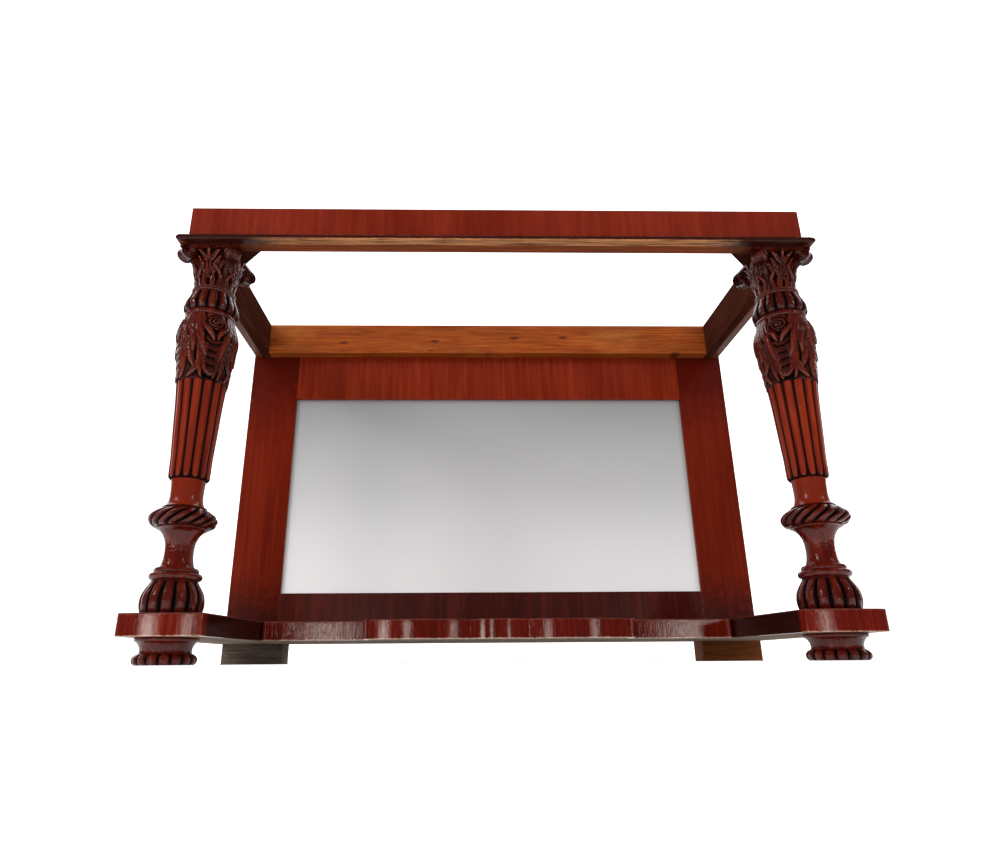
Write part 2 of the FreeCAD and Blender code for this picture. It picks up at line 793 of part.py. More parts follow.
def frieze():
    """Front, side and rear rails, their facings, the mouldings and the corner blocks."""
    core_x = frieze_half - facing_thickness
    core_y = frieze_y + facing_thickness
    screws, holes = frame_screws()
    sockets = dovetails(fit_clearance)
    front = block(-core_x, core_x, core_y, rail_back_y, frieze_bottom, table_top)
    save(front.cut(sockets + [mirrored(s) for s in sockets]), "frieze_front_rail")

    stub_z0 = frieze_bottom + stub_tenon_margin
    stub_z1 = table_top - stub_tenon_margin
    stub_y = rear_rail_y + (rear_rail_thickness - stub_tenon_thickness) / 2

    def stub(grow):
        return block(
            side_inner_x - cut_margin,
            side_inner_x + stub_tenon_length + grow,
            stub_y - grow,
            stub_y + stub_tenon_thickness + grow,
            stub_z0 - grow,
            stub_z1 + grow,
        )

    side = block(side_inner_x, core_x, rail_back_y, back_frame_y, frieze_bottom, table_top)
    side = side.fuse(dovetails(0.0)).cut([stub(fit_clearance)] + holes)
    save_pair(side, "frieze_side_rail")
    rear = block(-side_inner_x, side_inner_x, rear_rail_y, back_frame_y, frieze_bottom, table_top)
    save(rear.fuse([stub(0.0), mirrored(stub(0.0))]).removeSplitter(), "frieze_rear_rail")

    save(block(-core_x, core_x, frieze_y, core_y, moulding_top, table_top), "frieze_front_facing")
    side_facing = block(core_x, frieze_half, frieze_y, back_frame_y, moulding_top, table_top)
    save_pair(side_facing, "frieze_side_facing")

    far = frieze_half + 2 * moulding_projection
    run = moulding_section().extrude(V(2 * far, 0, 0))
    side_run = placed(run, 0.0, 0.0, 0.0, (0, 0, 1), 90)
    run.translate(V(-far, frieze_y, frieze_bottom))
    side_run.translate(V(frieze_half, -far, frieze_bottom))
    wide = core_x + far
    mitre = [(core_x, core_y), (wide, core_y - far), (-wide, core_y - far), (-core_x, core_y)]
    corners = [V(x, y, 0) for x, y in mitre]
    front_zone = Part.Face(Part.makePolygon(corners + corners[:1])).extrude(V(0, 0, table_top))
    save(run.common(front_zone), "frieze_moulding_front")
    side_zone = block(core_x, far * 2, -far, back_frame_y, 0.0, table_top).cut(front_zone)
    save_pair(side_run.common(side_zone), "frieze_moulding")

    leg = corner_block_leg
    corner = (side_inner_x, rail_back_y)
    ends = [corner, (side_inner_x - leg, rail_back_y), (side_inner_x, rail_back_y + leg)]
    points = [V(x, y, frieze_bottom) for x, y in ends]
    wedge = Part.Face(Part.makePolygon(points + points[:1])).extrude(V(0, 0, rail_height - corner_block_drop))
    half = capital_dowel_length / 2
    hole = at_column(socket(frieze_bottom, frieze_bottom + half + end_clearance, capital_dowel_radius))
    save_pair(wedge.cut(hole), "corner_block")
    save(Part.makeCompound(screws + [mirrored(s) for s in screws]), "frame_screws")


def frame_screws():
    """Screws on the right, from the wall side through the stile into the side rail, and their holes."""
    screws = []
    holes = []
    x = (side_inner_x + stub_tenon_length + frieze_half - facing_thickness) / 2
    for share in frame_screw_shares:
        z = frieze_bottom + rail_height * share
        screws.append(placed(screw(frame_screw_length), x, wall_y, z, (1, 0, 0), -90))
        holes.append(placed(screw_hole(frame_screw_length), x, wall_y, z, (1, 0, 0), -90))
    return screws, holes


# ---- mirror back ----


def backboard_screws():
    """Screws round the backboards, from the wall side into the frame, and their holes."""
    screws = []
    holes = []
    seat = backboard_overlap - (backboard_overlap - mirror_overlap) / 2
    half_x = stile_inner_x + seat
    low = sight_bottom - seat
    high = sight_top + seat
    rows = 2 * backboard_count
    spots = []
    for i in range(rows):
        z = low + (high - low) * (i + 0.5) / rows
        spots += [(-half_x, z), (half_x, z)]
    for share in backboard_row_shares:
        x = -half_x + 2 * half_x * share
        spots += [(x, low), (x, high)]
    for x, z in spots:
        screws.append(placed(screw(backboard_screw_length), x, wall_y, z, (1, 0, 0), -90))
        holes.append(placed(screw_hole(backboard_screw_length), x, wall_y, z, (1, 0, 0), -90))
    return screws, holes


def mirror_back():
    """Two stiles and two rails, mortised together, with the mirror plate, its slips and the backboards."""
    lip_y = back_frame_y + mirror_lip
    board_y = wall_y - backboard_thickness

    def rebate(over, front_y):
        x = stile_inner_x + over
        return block(-x, x, front_y, wall_y + cut_margin, sight_bottom - over, sight_top + over)

    screws, holes = backboard_screws()
    cuts = [rebate(mirror_overlap, lip_y), rebate(backboard_overlap, board_y)] + holes
    tenon_y = back_frame_y + (board_y - back_frame_y - tenon_thickness) / 2

    def tenons(z0, z1, grow):
        return block(
            stile_inner_x - cut_margin,
            stile_inner_x + tenon_length + (end_clearance if grow else 0.0),
            tenon_y - grow,
            tenon_y + tenon_thickness + grow,
            z0 - grow,
            z1 + grow,
        )

    edge = backboard_overlap + tenon_margin
    middle = (sight_top + edge + table_top - tenon_margin) / 2
    spans = [
        (plinth_top + tenon_margin, sight_bottom - edge),
        (sight_top + edge, middle - tenon_margin / 2),
        (middle + tenon_margin / 2, table_top - tenon_margin),
    ]
    stile = block(stile_inner_x, stile_outer_x, back_frame_y, wall_y, plinth_top, table_top)
    mortises = [tenons(a, b, fit_clearance) for a, b in spans]
    stile = stile.cut(cuts + stile_dowels()[1] + frame_screws()[1] + mortises)
    save_pair(stile, "back_stile")

    def rail(z0, z1, own_spans):
        body = block(-stile_inner_x, stile_inner_x, back_frame_y, wall_y, z0, z1)
        ends = [tenons(a, b, 0.0) for a, b in own_spans]
        return body.fuse(ends + [mirrored(e) for e in ends]).cut(cuts).removeSplitter()

    save(rail(plinth_top, sight_bottom, spans[:1]), "back_bottom_rail")
    save(rail(sight_top, table_top, spans[1:]), "back_top_rail")

    over = mirror_overlap - mirror_clearance
    x = stile_inner_x + over
    z0 = sight_bottom - over
    z1 = sight_top + over
    plate_back = lip_y + mirror_thickness
    save(block(-x, x, lip_y, plate_back, z0, z1), "mirror_plate")
    w = slip_width
    slips = [
        block(-x, x, plate_back, board_y, z0, z0 + w),
        block(-x, x, plate_back, board_y, z1 - w, z1),
        block(-x, -x + w, plate_back, board_y, z0 + w, z1 - w),
        block(x - w, x, plate_back, board_y, z0 + w, z1 - w),
    ]
    save(Part.makeCompound(slips), "mirror_slips")

    over = backboard_overlap - mirror_clearance
    x = stile_inner_x + over
    z0 = sight_bottom - over
    pitch = (sight_top + over - z0 + backboard_gap) / backboard_count
    for i in range(backboard_count):
        low = z0 + i * pitch
        board = block(-x, x, board_y, wall_y, low, low + pitch - backboard_gap)
        save(board.cut(holes), "backboard_" + str(i + 1))
    save(Part.makeCompound(screws), "backboard_screws")


os.makedirs("parts", exist_ok=True)
columns()
plinth()
back_feet()
frieze()
mirror_back()
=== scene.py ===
"""Pier table with a mirror back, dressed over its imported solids.

The sections follow the table as a workshop puts it together: feet, plinth, columns, frieze, mirror back,
and the screws and dowels that hold it. The room that it stands in comes last.
"""

import math

import bmesh
import bpy
import numpy as np
from mathutils import Matrix, Vector


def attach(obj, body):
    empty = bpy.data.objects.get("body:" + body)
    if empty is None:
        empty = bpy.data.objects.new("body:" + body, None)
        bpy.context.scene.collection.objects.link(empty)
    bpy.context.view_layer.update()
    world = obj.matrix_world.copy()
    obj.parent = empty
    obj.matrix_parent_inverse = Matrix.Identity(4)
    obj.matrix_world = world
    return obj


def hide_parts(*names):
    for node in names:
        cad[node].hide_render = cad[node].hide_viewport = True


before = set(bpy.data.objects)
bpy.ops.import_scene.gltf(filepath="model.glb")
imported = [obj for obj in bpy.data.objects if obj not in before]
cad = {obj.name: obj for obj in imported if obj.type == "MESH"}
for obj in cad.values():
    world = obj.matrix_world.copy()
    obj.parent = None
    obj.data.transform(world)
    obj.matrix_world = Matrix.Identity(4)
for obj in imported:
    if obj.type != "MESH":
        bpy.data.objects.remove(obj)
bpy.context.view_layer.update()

scene = bpy.context.scene

# ---- back feet ----
# Two plain sawn blocks, screwed up under the back corners of the plinth, where nobody looks. One is black
# with age and the other still brown, so they came from different boards.


def linear(colour):
    """An sRGB hex colour as linear red, green, blue and alpha."""
    shares = [int(colour[i : i + 2], 16) / 255 for i in (1, 3, 5)]
    return [s / 12.92 if s <= 0.04045 else ((s + 0.055) / 1.055) ** 2.4 for s in shares] + [1.0]


def add(tree, kind, inputs=None, stops=None, **settings):
    """Adds a node with its settings and links. An input is a plain value, an output of another node, or a
    node, which stands for its first output."""
    node = tree.nodes.new(kind)
    for key, value in settings.items():
        setattr(node, key, value)
    for key, value in (inputs or {}).items():
        if isinstance(value, bpy.types.Node):
            value = value.outputs[0]
        if isinstance(value, bpy.types.NodeSocket):
            tree.links.new(value, node.inputs[key])
        else:
            node.inputs[key].default_value = value
    for i, (place, colour) in enumerate(stops or []):
        stop = node.color_ramp.elements[i] if i < 2 else node.color_ramp.elements.new(place)
        stop.position = place
        stop.color = linear(colour) if isinstance(colour, str) else (colour, colour, colour, 1.0)
    return node


def empty_material(name):
    """A new material and its node tree, with no nodes yet."""
    material = bpy.data.materials.new(name)
    material.use_nodes = True
    material.node_tree.nodes.clear()
    return material, material.node_tree


def timber(
    name, deep, body, light, along, streak, roughness,
    shine=0.5, pores=0.5, dirt_and_shade=None, crest_wear_and_highlight=None, worn=None, lip=None, bands=(), stains=None, tooled=0.0,
):
    """A wood whose streaks, in three tones, run along an axis and are streak metres wide. Roughness and shine
    are those of its polish, and pores is how strongly its pores show. The colour given for the carving's
    hollows is part dirt and part painted shade, and the polish is dull there; the colour given for its crests
    is part rubbed wear and part painted highlight. Worn is the colour of the arrises.
    Each band is an axis, a colour and the distances from the middle between which the wood turns to that
    colour, and may end with the half width of the table inside which it stays. Stains are the colours of pale
    patches and of knots. Tooled is how deep, in metres, the tool has left its marks."""
    material, tree = empty_material(name)
    place = add(tree, "ShaderNodeTexCoord").outputs["Object"]
    xyz = add(tree, "ShaderNodeSeparateXYZ", {0: place}).outputs
    # Streaks and pores are drawn out 22 times along the grain, and the ribbon figure 3 times.
    drawn_out = []
    for squeeze in (0.045, 0.3):
        scale = [squeeze if axis == along else 1.0 for axis in "XYZ"]
        drawn_out.append(add(tree, "ShaderNodeMapping", {"Vector": place, "Scale": scale}))
    run, drift = drawn_out
    figure = {"Vector": run, "Scale": 1 / streak, "Detail": 6.0, "Roughness": 0.62, "Distortion": 0.5}
    streaks = add(tree, "ShaderNodeTexNoise", figure)
    ribbon = add(tree, "ShaderNodeTexNoise", {"Vector": drift, "Scale": 1 / (9 * streak), "Detail": 2.0})
    # Pores are about 0.25 mm wide in the wood, and are drawn at 0.9 mm so that they show.
    pore = add(tree, "ShaderNodeTexNoise", {"Vector": run, "Scale": 1 / 0.0009, "Detail": 1.0})
    # Wear breaks up into patches about 6 mm across.
    ragged = add(tree, "ShaderNodeTexNoise", {"Vector": place, "Scale": 160.0, "Detail": 3.0})

    tones = [(0.28, deep), (0.5, body), (0.75, light)]
    tone = add(tree, "ShaderNodeValToRGB", {"Fac": streaks}, tones)
    shade = add(tree, "ShaderNodeValToRGB", {"Fac": ribbon}, [(0.3, 0.72), (0.7, 1.0)])
    shaded = {0: 1.0, 6: tone, 7: shade}
    colour = add(tree, "ShaderNodeMix", shaded, data_type="RGBA", blend_type="MULTIPLY").outputs[2]
    speck = add(tree, "ShaderNodeValToRGB", {"Fac": pore}, [(0.36, pores), (0.46, 0.0)])
    # Coats are the colours that lie over the bare wood one after another, each with its amount.
    coats = [(speck, deep)]
    polish = {0: ribbon, 1: 0.3, 2: 0.7, 3: roughness * 0.85, 4: roughness * 1.2}
    gloss = add(tree, "ShaderNodeMapRange", polish)
    specular = shine
    if worn:
        rounded = add(tree, "ShaderNodeBevel", {"Radius": 0.0022}, samples=4)
        facing = add(tree, "ShaderNodeNewGeometry").outputs["Normal"]
        agree = add(tree, "ShaderNodeVectorMath", {0: rounded, 1: facing}, operation="DOT_PRODUCT").outputs[1]
        arris = add(tree, "ShaderNodeMapRange", {0: agree, 1: 0.995, 2: 0.9})
        patchy = add(tree, "ShaderNodeMapRange", {0: ragged, 1: 0.42, 2: 0.6, 4: 0.8})
        amount = add(tree, "ShaderNodeMath", {0: arris, 1: patchy}, operation="MULTIPLY")
        coats.append((amount, worn))
    if lip:
        bare, low, high = lip
        lift = add(tree, "ShaderNodeMath", {0: ragged, 1: high - low}, operation="MULTIPLY")
        level = add(tree, "ShaderNodeMath", {0: xyz["Z"], 1: lift}, operation="SUBTRACT")
        amount = add(tree, "ShaderNodeMapRange", {0: level, 1: low, 2: (low + high) / 2, 3: 0.9, 4: 0.0})
        broken = add(tree, "ShaderNodeMapRange", {0: streaks, 1: 0.38, 2: 0.56, 3: 0.15})
        amount = add(tree, "ShaderNodeMath", {0: amount, 1: broken}, operation="MULTIPLY")
        coats.append((amount, bare))
    for axis, stained, near, far, *inside in bands:
        offset = add(tree, "ShaderNodeMath", {0: xyz[axis]}, operation="ABSOLUTE")
        wander = add(tree, "ShaderNodeTexNoise", {"Vector": place, "Scale": 60.0, "Detail": 3.0})
        spread = abs(far - near)
        offset = add(tree, "ShaderNodeMath", {0: wander, 1: spread, 2: offset}, operation="MULTIPLY_ADD")
        turning = {0: offset, 1: near + spread / 2, 2: far + spread / 2}
        amount = add(tree, "ShaderNodeMapRange", turning)
        if inside:
            across = add(tree, "ShaderNodeMath", {0: xyz["X"]}, operation="ABSOLUTE")
            within = add(tree, "ShaderNodeMath", {0: across, 1: inside[0]}, operation="LESS_THAN")
            amount = add(tree, "ShaderNodeMath", {0: amount, 1: within}, operation="MULTIPLY")
        coats.append((amount, stained))
    if stains:
        pale, dark = stains
        # Pale patches are about 70 mm across, and longer along the grain.
        figure = {"Vector": drift, "Scale": 14.0, "Detail": 4.0, "Roughness": 0.65}
        patch = add(tree, "ShaderNodeTexNoise", figure)
        amount = add(tree, "ShaderNodeMapRange", {0: patch, 1: 0.52, 2: 0.72, 4: 0.45})
        coats.append((amount, pale))
        # Knots lie about 110 mm apart along the board and 42 mm across it.
        cells = add(tree, "ShaderNodeMapping", {"Vector": place, "Scale": (9.0, 0.0, 24.0)})
        knot = add(tree, "ShaderNodeTexVoronoi", {"Vector": cells, "Scale": 1.0}).outputs["Distance"]
        amount = add(tree, "ShaderNodeMapRange", {0: knot, 1: 0.07, 2: 0.15, 3: 0.85, 4: 0.0})
        coats.append((amount, dark))
    # The carving's hollows are painted darker, part dirt and part painted shade, with a duller polish, and
    # its crests paler, part rubbed wear and part painted highlight.
    if dirt_and_shade:
        hollow = add(tree, "ShaderNodeAttribute", attribute_name="hollow").outputs["Fac"]
        if crest_wear_and_highlight:
            crest = add(tree, "ShaderNodeMapRange", {0: hollow, 1: -0.25, 2: -1.0, 4: 0.5})
            coats.append((crest, crest_wear_and_highlight))
        packed = add(tree, "ShaderNodeMapRange", {0: hollow})
        coats.append((packed, dirt_and_shade))
        clean = add(tree, "ShaderNodeMapRange", {0: hollow, 2: 0.8, 3: 1.0, 4: 0.0})
        specular = add(tree, "ShaderNodeMath", {0: clean, 1: shine - 0.06, 2: 0.06}, operation="MULTIPLY_ADD")
        gloss = add(tree, "ShaderNodeMath", {0: packed, 1: 0.35, 2: gloss}, operation="MULTIPLY_ADD")
    for amount, tint in coats:
        layer = {0: amount, 6: colour, 7: linear(tint)}
        colour = add(tree, "ShaderNodeMix", layer, data_type="RGBA").outputs[2]

    relief = add(tree, "ShaderNodeBump", {"Strength": 0.25, "Distance": 0.0002, "Height": pore})
    if tooled:
        # Each mark of the tool is about 5 mm across.
        marks = add(tree, "ShaderNodeTexNoise", {"Vector": place, "Scale": 190.0, "Detail": 1.0})
        dents = {"Strength": 1.0, "Distance": tooled, "Height": marks, "Normal": relief}
        relief = add(tree, "ShaderNodeBump", dents)
    grain = {"Strength": 0.2, "Distance": 0.0006, "Height": streaks, "Normal": relief}
    relief = add(tree, "ShaderNodeBump", grain)
    finish = {"Base Color": colour, "Roughness": gloss, "IOR": 1.5, "Specular IOR Level": specular}
    shader = add(tree, "ShaderNodeBsdfPrincipled", {**finish, "Normal": relief})
    add(tree, "ShaderNodeOutputMaterial", {0: shader})
    return material


def placed(name, data):
    """A new object in the scene."""
    piece = bpy.data.objects.new(name, data)
    scene.collection.objects.link(piece)
    return piece


def coat(piece, material):
    """Gives a piece one material all over."""
    piece.data.materials.clear()
    piece.data.materials.append(material)


def settle(piece, slot, material, *replaced):
    """Gives a finished piece its material, and puts it on the table in place of CAD nodes. Slot is not used.
    """
    coat(piece, material)
    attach(piece, "root")
    if replaced:
        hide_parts(*replaced)


def plain_mesh(piece):
    """Works a piece's modifiers into a plain mesh."""
    graph = bpy.context.evaluated_depsgraph_get()
    finished = piece.evaluated_get(graph)
    mesh = bpy.data.meshes.new_from_object(finished, preserve_all_data_layers=True, depsgraph=graph)
    piece.modifiers.clear()
    piece.data = mesh


def eased(node, width, slot, material):
    """A sawn or planed piece with its arrises rubbed round by width, in place of the CAD node."""
    crisp = math.radians(32)
    solid = bmesh.new()
    solid.from_mesh(cad[node].data)
    bmesh.ops.remove_doubles(solid, verts=solid.verts, dist=1e-5)
    bmesh.ops.dissolve_limit(solid, angle_limit=math.radians(0.8), verts=solid.verts, edges=solid.edges)
    mesh = bpy.data.meshes.new(node + "_eased")
    solid.to_mesh(mesh)
    solid.free()
    if "custom_normal" in mesh.attributes:
        mesh.attributes.remove(mesh.attributes["custom_normal"])
    mesh.shade_smooth()
    mesh.set_sharp_from_angle(angle=crisp)
    piece = placed(node + "_eased", mesh)
    bevel = piece.modifiers.new("arris", "BEVEL")
    bevel.width = width
    bevel.segments = 2
    bevel.limit_method = "ANGLE"
    bevel.angle_limit = crisp
    bevel.harden_normals = True
    plain_mesh(piece)
    settle(piece, slot, material, node)


# Ebonised softwood: the stain has gone grey-black and dry, so it scatters light and hardly shines.
ebonised_block = timber(
    "ebonised_softwood", "#544840", "#7a6c62", "#978a7e", "X", 0.004, 0.8, shine=0.1, pores=0.7
)
# Stained softwood: a thin brown stain over visible grain, dull and scuffed.
stained_block = timber(
    "brown_stained_softwood", "#6c3a1c", "#94562c", "#b07444", "X", 0.004, 0.75, shine=0.1, pores=0.6
)
# Both blocks are drawn lighter than their stains, as painted light against the plinth's shade over them.
eased("back_foot_left", 0.0012, "grey_block", ebonised_block)
eased("back_foot_right", 0.0012, "brown_block", stained_block)

# ---- front feet ----
# Turned mahogany buns, carved with round lobes at the lathe's index plate, below a hollow neck and a ring.
# Each has a long pin, which goes up through the plinth and holds the column.

COLUMN = (0.583, -0.202)


def along_profile(*runs):
    """Rows of radius, height, lobe depth and end rounding, in metres. A run is its count of rows and the
    points, in millimetres, that it passes smoothly. Runs meet at a crisp edge."""
    rows = []
    for count, points in runs:
        points = np.array([list(p) + [0.0] * (4 - len(p)) for p in points])
        ends = np.vstack([2 * points[0] - points[1], points, 2 * points[-1] - points[-2]])
        for share in np.linspace(0, len(points) - 1, count):
            i = min(int(share), len(points) - 2)
            t = share - i
            a, b, c, d = ends[i : i + 4]
            row = b + 0.5 * t * (c - a + t * (2 * a - 5 * b + 4 * c - d + t * (3 * (b - c) + d - a)))
            if not rows or abs(row[:2] - rows[-1][:2]).sum() > 0.02:
                rows.append(row)
    rows = np.array(rows)
    rows[:, 2] = rows[:, 2].clip(0) / 1000
    rows[:, 3] = rows[:, 3].clip(0, 1)
    rows[:, :2] /= 1000
    return rows


def closed_skin(rings, values=None):
    """Points, faces and a value at each point, for a closed skin over rings of points from end to end."""
    count, around = rings.shape[:2]
    points = np.vstack([rings.reshape(-1, 3), rings[0].mean(0), rings[-1].mean(0)])
    faces = []
    for i in range(count - 1):
        for j in range(around):
            k = (j + 1) % around
            faces.append((i * around + j, i * around + k, (i + 1) * around + k, (i + 1) * around + j))
    low, high = count * around, count * around + 1
    for j in range(around):
        k = (j + 1) % around
        faces.append((k, j, low))
        faces.append(((count - 1) * around + j, (count - 1) * around + k, high))
    values = np.zeros((count, around)) if values is None else values
    return points, faces, np.append(values.reshape(-1), [0.0, 0.0])


def rings_at(radius, height, middle=COLUMN):
    """Rings of points round an upright axis, from radii and heights by row and by angle."""
    around = radius.shape[1]
    angle = np.arange(around) * 2 * math.pi / around
    height = np.broadcast_to(height, radius.shape)
    return np.stack([middle[0] + radius * np.cos(angle), middle[1] + radius * np.sin(angle), height], axis=2)


def store(mesh, name, values):
    """Stores a number at each point of a mesh."""
    layer = mesh.attributes.new(name, "FLOAT", "POINT")
    layer.data.foreach_set("value", values.astype(np.float32))


def make(name, *skins):
    """One mesh object from several skins, shaded smooth but for its crisp edges. The values at its points say
    where the carving is darkened, part dirt and part painted shade, and, below zero, where its crests are
    lightened, part rubbed wear and part painted highlight."""
    points, faces, dirt_and_shade = [], [], []
    start = 0
    for skin_points, skin_faces, skin_dirt_and_shade in skins:
        points.append(skin_points)
        faces += [tuple(start + i for i in face) for face in skin_faces]
        dirt_and_shade.append(skin_dirt_and_shade)
        start += len(skin_points)
    mesh = bpy.data.meshes.new(name)
    mesh.from_pydata(np.vstack(points).tolist(), [], faces)
    store(mesh, "hollow", np.concatenate(dirt_and_shade))
    mesh.shade_smooth()
    mesh.set_sharp_from_angle(angle=math.radians(50))
    return placed(name, mesh)


def settle_pair(piece, node, material, flip=True):
    """Settles a carved piece on the right, and on the left its mirror image, or a copy of the same hand where
    flip is off."""
    mesh = piece.data.copy()
    if flip:
        mesh.transform(Matrix.Scale(-1, 4, Vector((1, 0, 0))))
        mesh.flip_normals()
    else:
        mesh.transform(Matrix.Translation((-2 * COLUMN[0], 0, 0)))
    settle(placed(node + "_carved_left", mesh), "carved_mahogany", material, node + "_left")
    settle(piece, "carved_mahogany", material, node + "_right")


def new_tree(name, *sizes):
    """An empty geometry node tree, and the identifiers of its named inputs."""
    tree = bpy.data.node_groups.new(name, "GeometryNodeTree")
    keys = {}
    for label, kind in (("Geometry", "Geometry"), *sizes):
        socket = tree.interface.new_socket(label, in_out="INPUT", socket_type="NodeSocket" + kind)
        keys[label] = socket.identifier
    tree.interface.new_socket("Geometry", in_out="OUTPUT", socket_type="NodeSocketGeometry")
    return tree, keys


def lobe_tree():
    """Geometry nodes that carve round lobes into a turning. The turning's own points say how deep the lobes
    are there, and how far their ends have closed."""
    tree, keys = new_tree(
        "carve lobes",
        ("Axis", "Vector"),
        ("Lobes", "Float"),
        ("Turns per metre", "Float"),
        ("Foot height", "Float"),
        ("Lobe share", "Float"),
        ("Wood", "Material"),
    )
    given = add(tree, "NodeGroupInput").outputs
    depth, closing = (
        add(tree, "GeometryNodeInputNamedAttribute", {"Name": name}, data_type="FLOAT")
        for name in ("depth", "closing")
    )
    position = add(tree, "GeometryNodeInputPosition")
    from_axis = add(tree, "ShaderNodeVectorMath", {0: position, 1: given["Axis"]}, operation="SUBTRACT")
    flat = add(tree, "ShaderNodeVectorMath", {0: from_axis, 1: (1, 1, 0)}, operation="MULTIPLY")
    outward = add(tree, "ShaderNodeVectorMath", {0: flat}, operation="NORMALIZE")
    xyz = add(tree, "ShaderNodeSeparateXYZ", {0: from_axis}).outputs
    angle = add(tree, "ShaderNodeMath", {0: xyz[1], 1: xyz[0]}, operation="ARCTAN2")
    turns = add(tree, "ShaderNodeMath", {0: angle, 1: 2 * math.pi}, operation="DIVIDE")
    rise = add(tree, "ShaderNodeMath", {0: xyz[2], 1: given["Foot height"]}, operation="SUBTRACT")
    slant = add(tree, "ShaderNodeMath", {0: rise, 1: given["Turns per metre"]}, operation="MULTIPLY")
    turned = add(tree, "ShaderNodeMath", {0: turns, 1: slant}, operation="SUBTRACT")
    phase = add(tree, "ShaderNodeMath", {0: turned, 1: given["Lobes"], 2: 0.5}, operation="MULTIPLY_ADD")
    share = add(tree, "ShaderNodeMath", {0: phase}, operation="FRACT")
    across = add(tree, "ShaderNodeMath", {0: share, 1: 2.0, 2: -1.0}, operation="MULTIPLY_ADD")
    across = add(tree, "ShaderNodeMath", {0: across, 1: given["Lobe share"]}, operation="DIVIDE")
    squared = add(tree, "ShaderNodeMath", {0: across, 1: across}, operation="MULTIPLY")
    ending = add(tree, "ShaderNodeMath", {0: closing, 1: closing}, operation="MULTIPLY")
    left = add(tree, "ShaderNodeMath", {0: 1.0, 1: squared}, operation="SUBTRACT")
    left = add(tree, "ShaderNodeMath", {0: left, 1: ending}, operation="SUBTRACT", use_clamp=True)
    crown = add(tree, "ShaderNodeMath", {0: left}, operation="SQRT")
    cut = add(tree, "ShaderNodeMath", {0: 1.0, 1: crown}, operation="SUBTRACT")
    inset = add(tree, "ShaderNodeMath", {0: cut, 1: depth}, operation="MULTIPLY")
    inwards = add(tree, "ShaderNodeMath", {0: inset, 1: -1.0}, operation="MULTIPLY")
    offset = add(tree, "ShaderNodeVectorMath", {0: outward, "Scale": inwards}, operation="SCALE")
    carved = add(tree, "GeometryNodeSetPosition", {"Geometry": given["Geometry"], "Offset": offset})
    # Lobes cut 2.8 mm deep or more are painted dark in full, part dirt and part painted shade.
    shade = add(tree, "ShaderNodeMath", {0: inset, 1: 0.0028}, operation="DIVIDE", use_clamp=True)
    hollow_dirt_and_shade = {"Geometry": carved, "Name": "hollow", "Value": shade}
    kept = add(tree, "GeometryNodeStoreNamedAttribute", hollow_dirt_and_shade, data_type="FLOAT", domain="POINT")
    real = add(tree, "GeometryNodeRealizeInstances", {0: kept})
    wooden = add(tree, "GeometryNodeSetMaterial", {"Geometry": real, "Material": given["Wood"]})
    add(tree, "NodeGroupOutput", {0: wooden})
    return tree, keys


carve_lobes, lobe_keys = lobe_tree()


def lobed_pair(node, rows, around, material, lobes, share, foot=0.0, turns=0.0, flip=True):
    """A pair of turnings with carved lobes, which wind round by turns per metre above a foot height."""
    radius = np.repeat(rows[:, :1], around, axis=1)
    piece = make(node + "_carved_right", closed_skin(rings_at(radius, rows[:, 1:2])))
    for key, column in (("depth", 2), ("closing", 3)):
        store(piece.data, key, np.append(np.repeat(rows[:, column], around), [0.0, 0.0]))
    carving = piece.modifiers.new("carving", "NODES")
    carving.node_group = carve_lobes
    for key, value in (
        ("Axis", (*COLUMN, 0.0)),
        ("Lobes", float(lobes)),
        ("Turns per metre", turns),
        ("Foot height", foot),
        ("Lobe share", share),
        ("Wood", material),
    ):
        carving[lobe_keys[key]] = value
    plain_mesh(piece)
    settle_pair(piece, node, material, flip)


# French-polished Cuban mahogany: red-brown under many coats of shellac, so it has a hard wet gloss on the
# crowns. Its hollows are painted nearly black, part dirt and old polish and part painted shade, and its
# crests paler, part rubbed wear and part painted highlight.
carved_mahogany = timber(
    "french_polished_carved_mahogany", "#3a0803", "#591104", "#7c2206", "Z", 0.011, 0.15, shine=0.36,
    pores=0.1, dirt_and_shade="#060101", crest_wear_and_highlight="#9c3f1e", tooled=0.0008,
)
foot_rows = along_profile(
    (26, [
        (46.2, 0, 2, 0.3), (50.6, 3.2, 3.6), (52, 8.6, 4.2), (50.6, 13.2, 4.2), (46.5, 17.2, 2.8, 0.3),
        (43, 19, 1.2, 0.8),
    ]),
    (14, [(42.2, 19.3), (41.8, 24), (43, 30), (46, 35), (48.4, 37.2)]),
    (10, [(48.6, 37.4), (51.2, 38.8), (52.2, 41.4), (51.6, 44.2), (50, 45.5)]),
)
lobed_pair("front_foot", foot_rows, 320, carved_mahogany, 16, 0.93)

# ---- plinth ----
# Three pine boards, dowelled edge to edge. Their shaped front has mahogany bent and glued round it, and a
# sheet of veneer covers the top. The boards are bare and dusty below.

# Bare old pine: pale, dusty and dry, with faint brown grain.
dusty_pine = timber("dusty_pine", "#967f6e", "#b49e8c", "#cbb8a8", "X", 0.007, 0.8, pores=0.3)
# Mahogany edging: cross-grained and polished, with its lower arris rubbed down to pale wood.
edging_mahogany = timber(
    "polished_edging_mahogany", "#470d06", "#5c1107", "#761f0b", "Z", 0.006, 0.075, shine=0.4, pores=0.3,
    worn="#a8643f", lip=("#c39a80", 0.0455, 0.0474), tooled=0.00006,
)
# The same edging on the end boards. Where it turns inwards it is painted nearly black, as painted shade.
end_edging_mahogany = timber(
    "polished_end_edging_mahogany", "#521009", "#6a1509", "#84260e", "Z", 0.006, 0.09, shine=0.4, pores=0.3,
    worn="#a8643f", lip=("#c39a80", 0.0455, 0.0474), bands=[("Y", "#200805", 0.256, 0.244, 0.6)],
    tooled=0.00006,
)
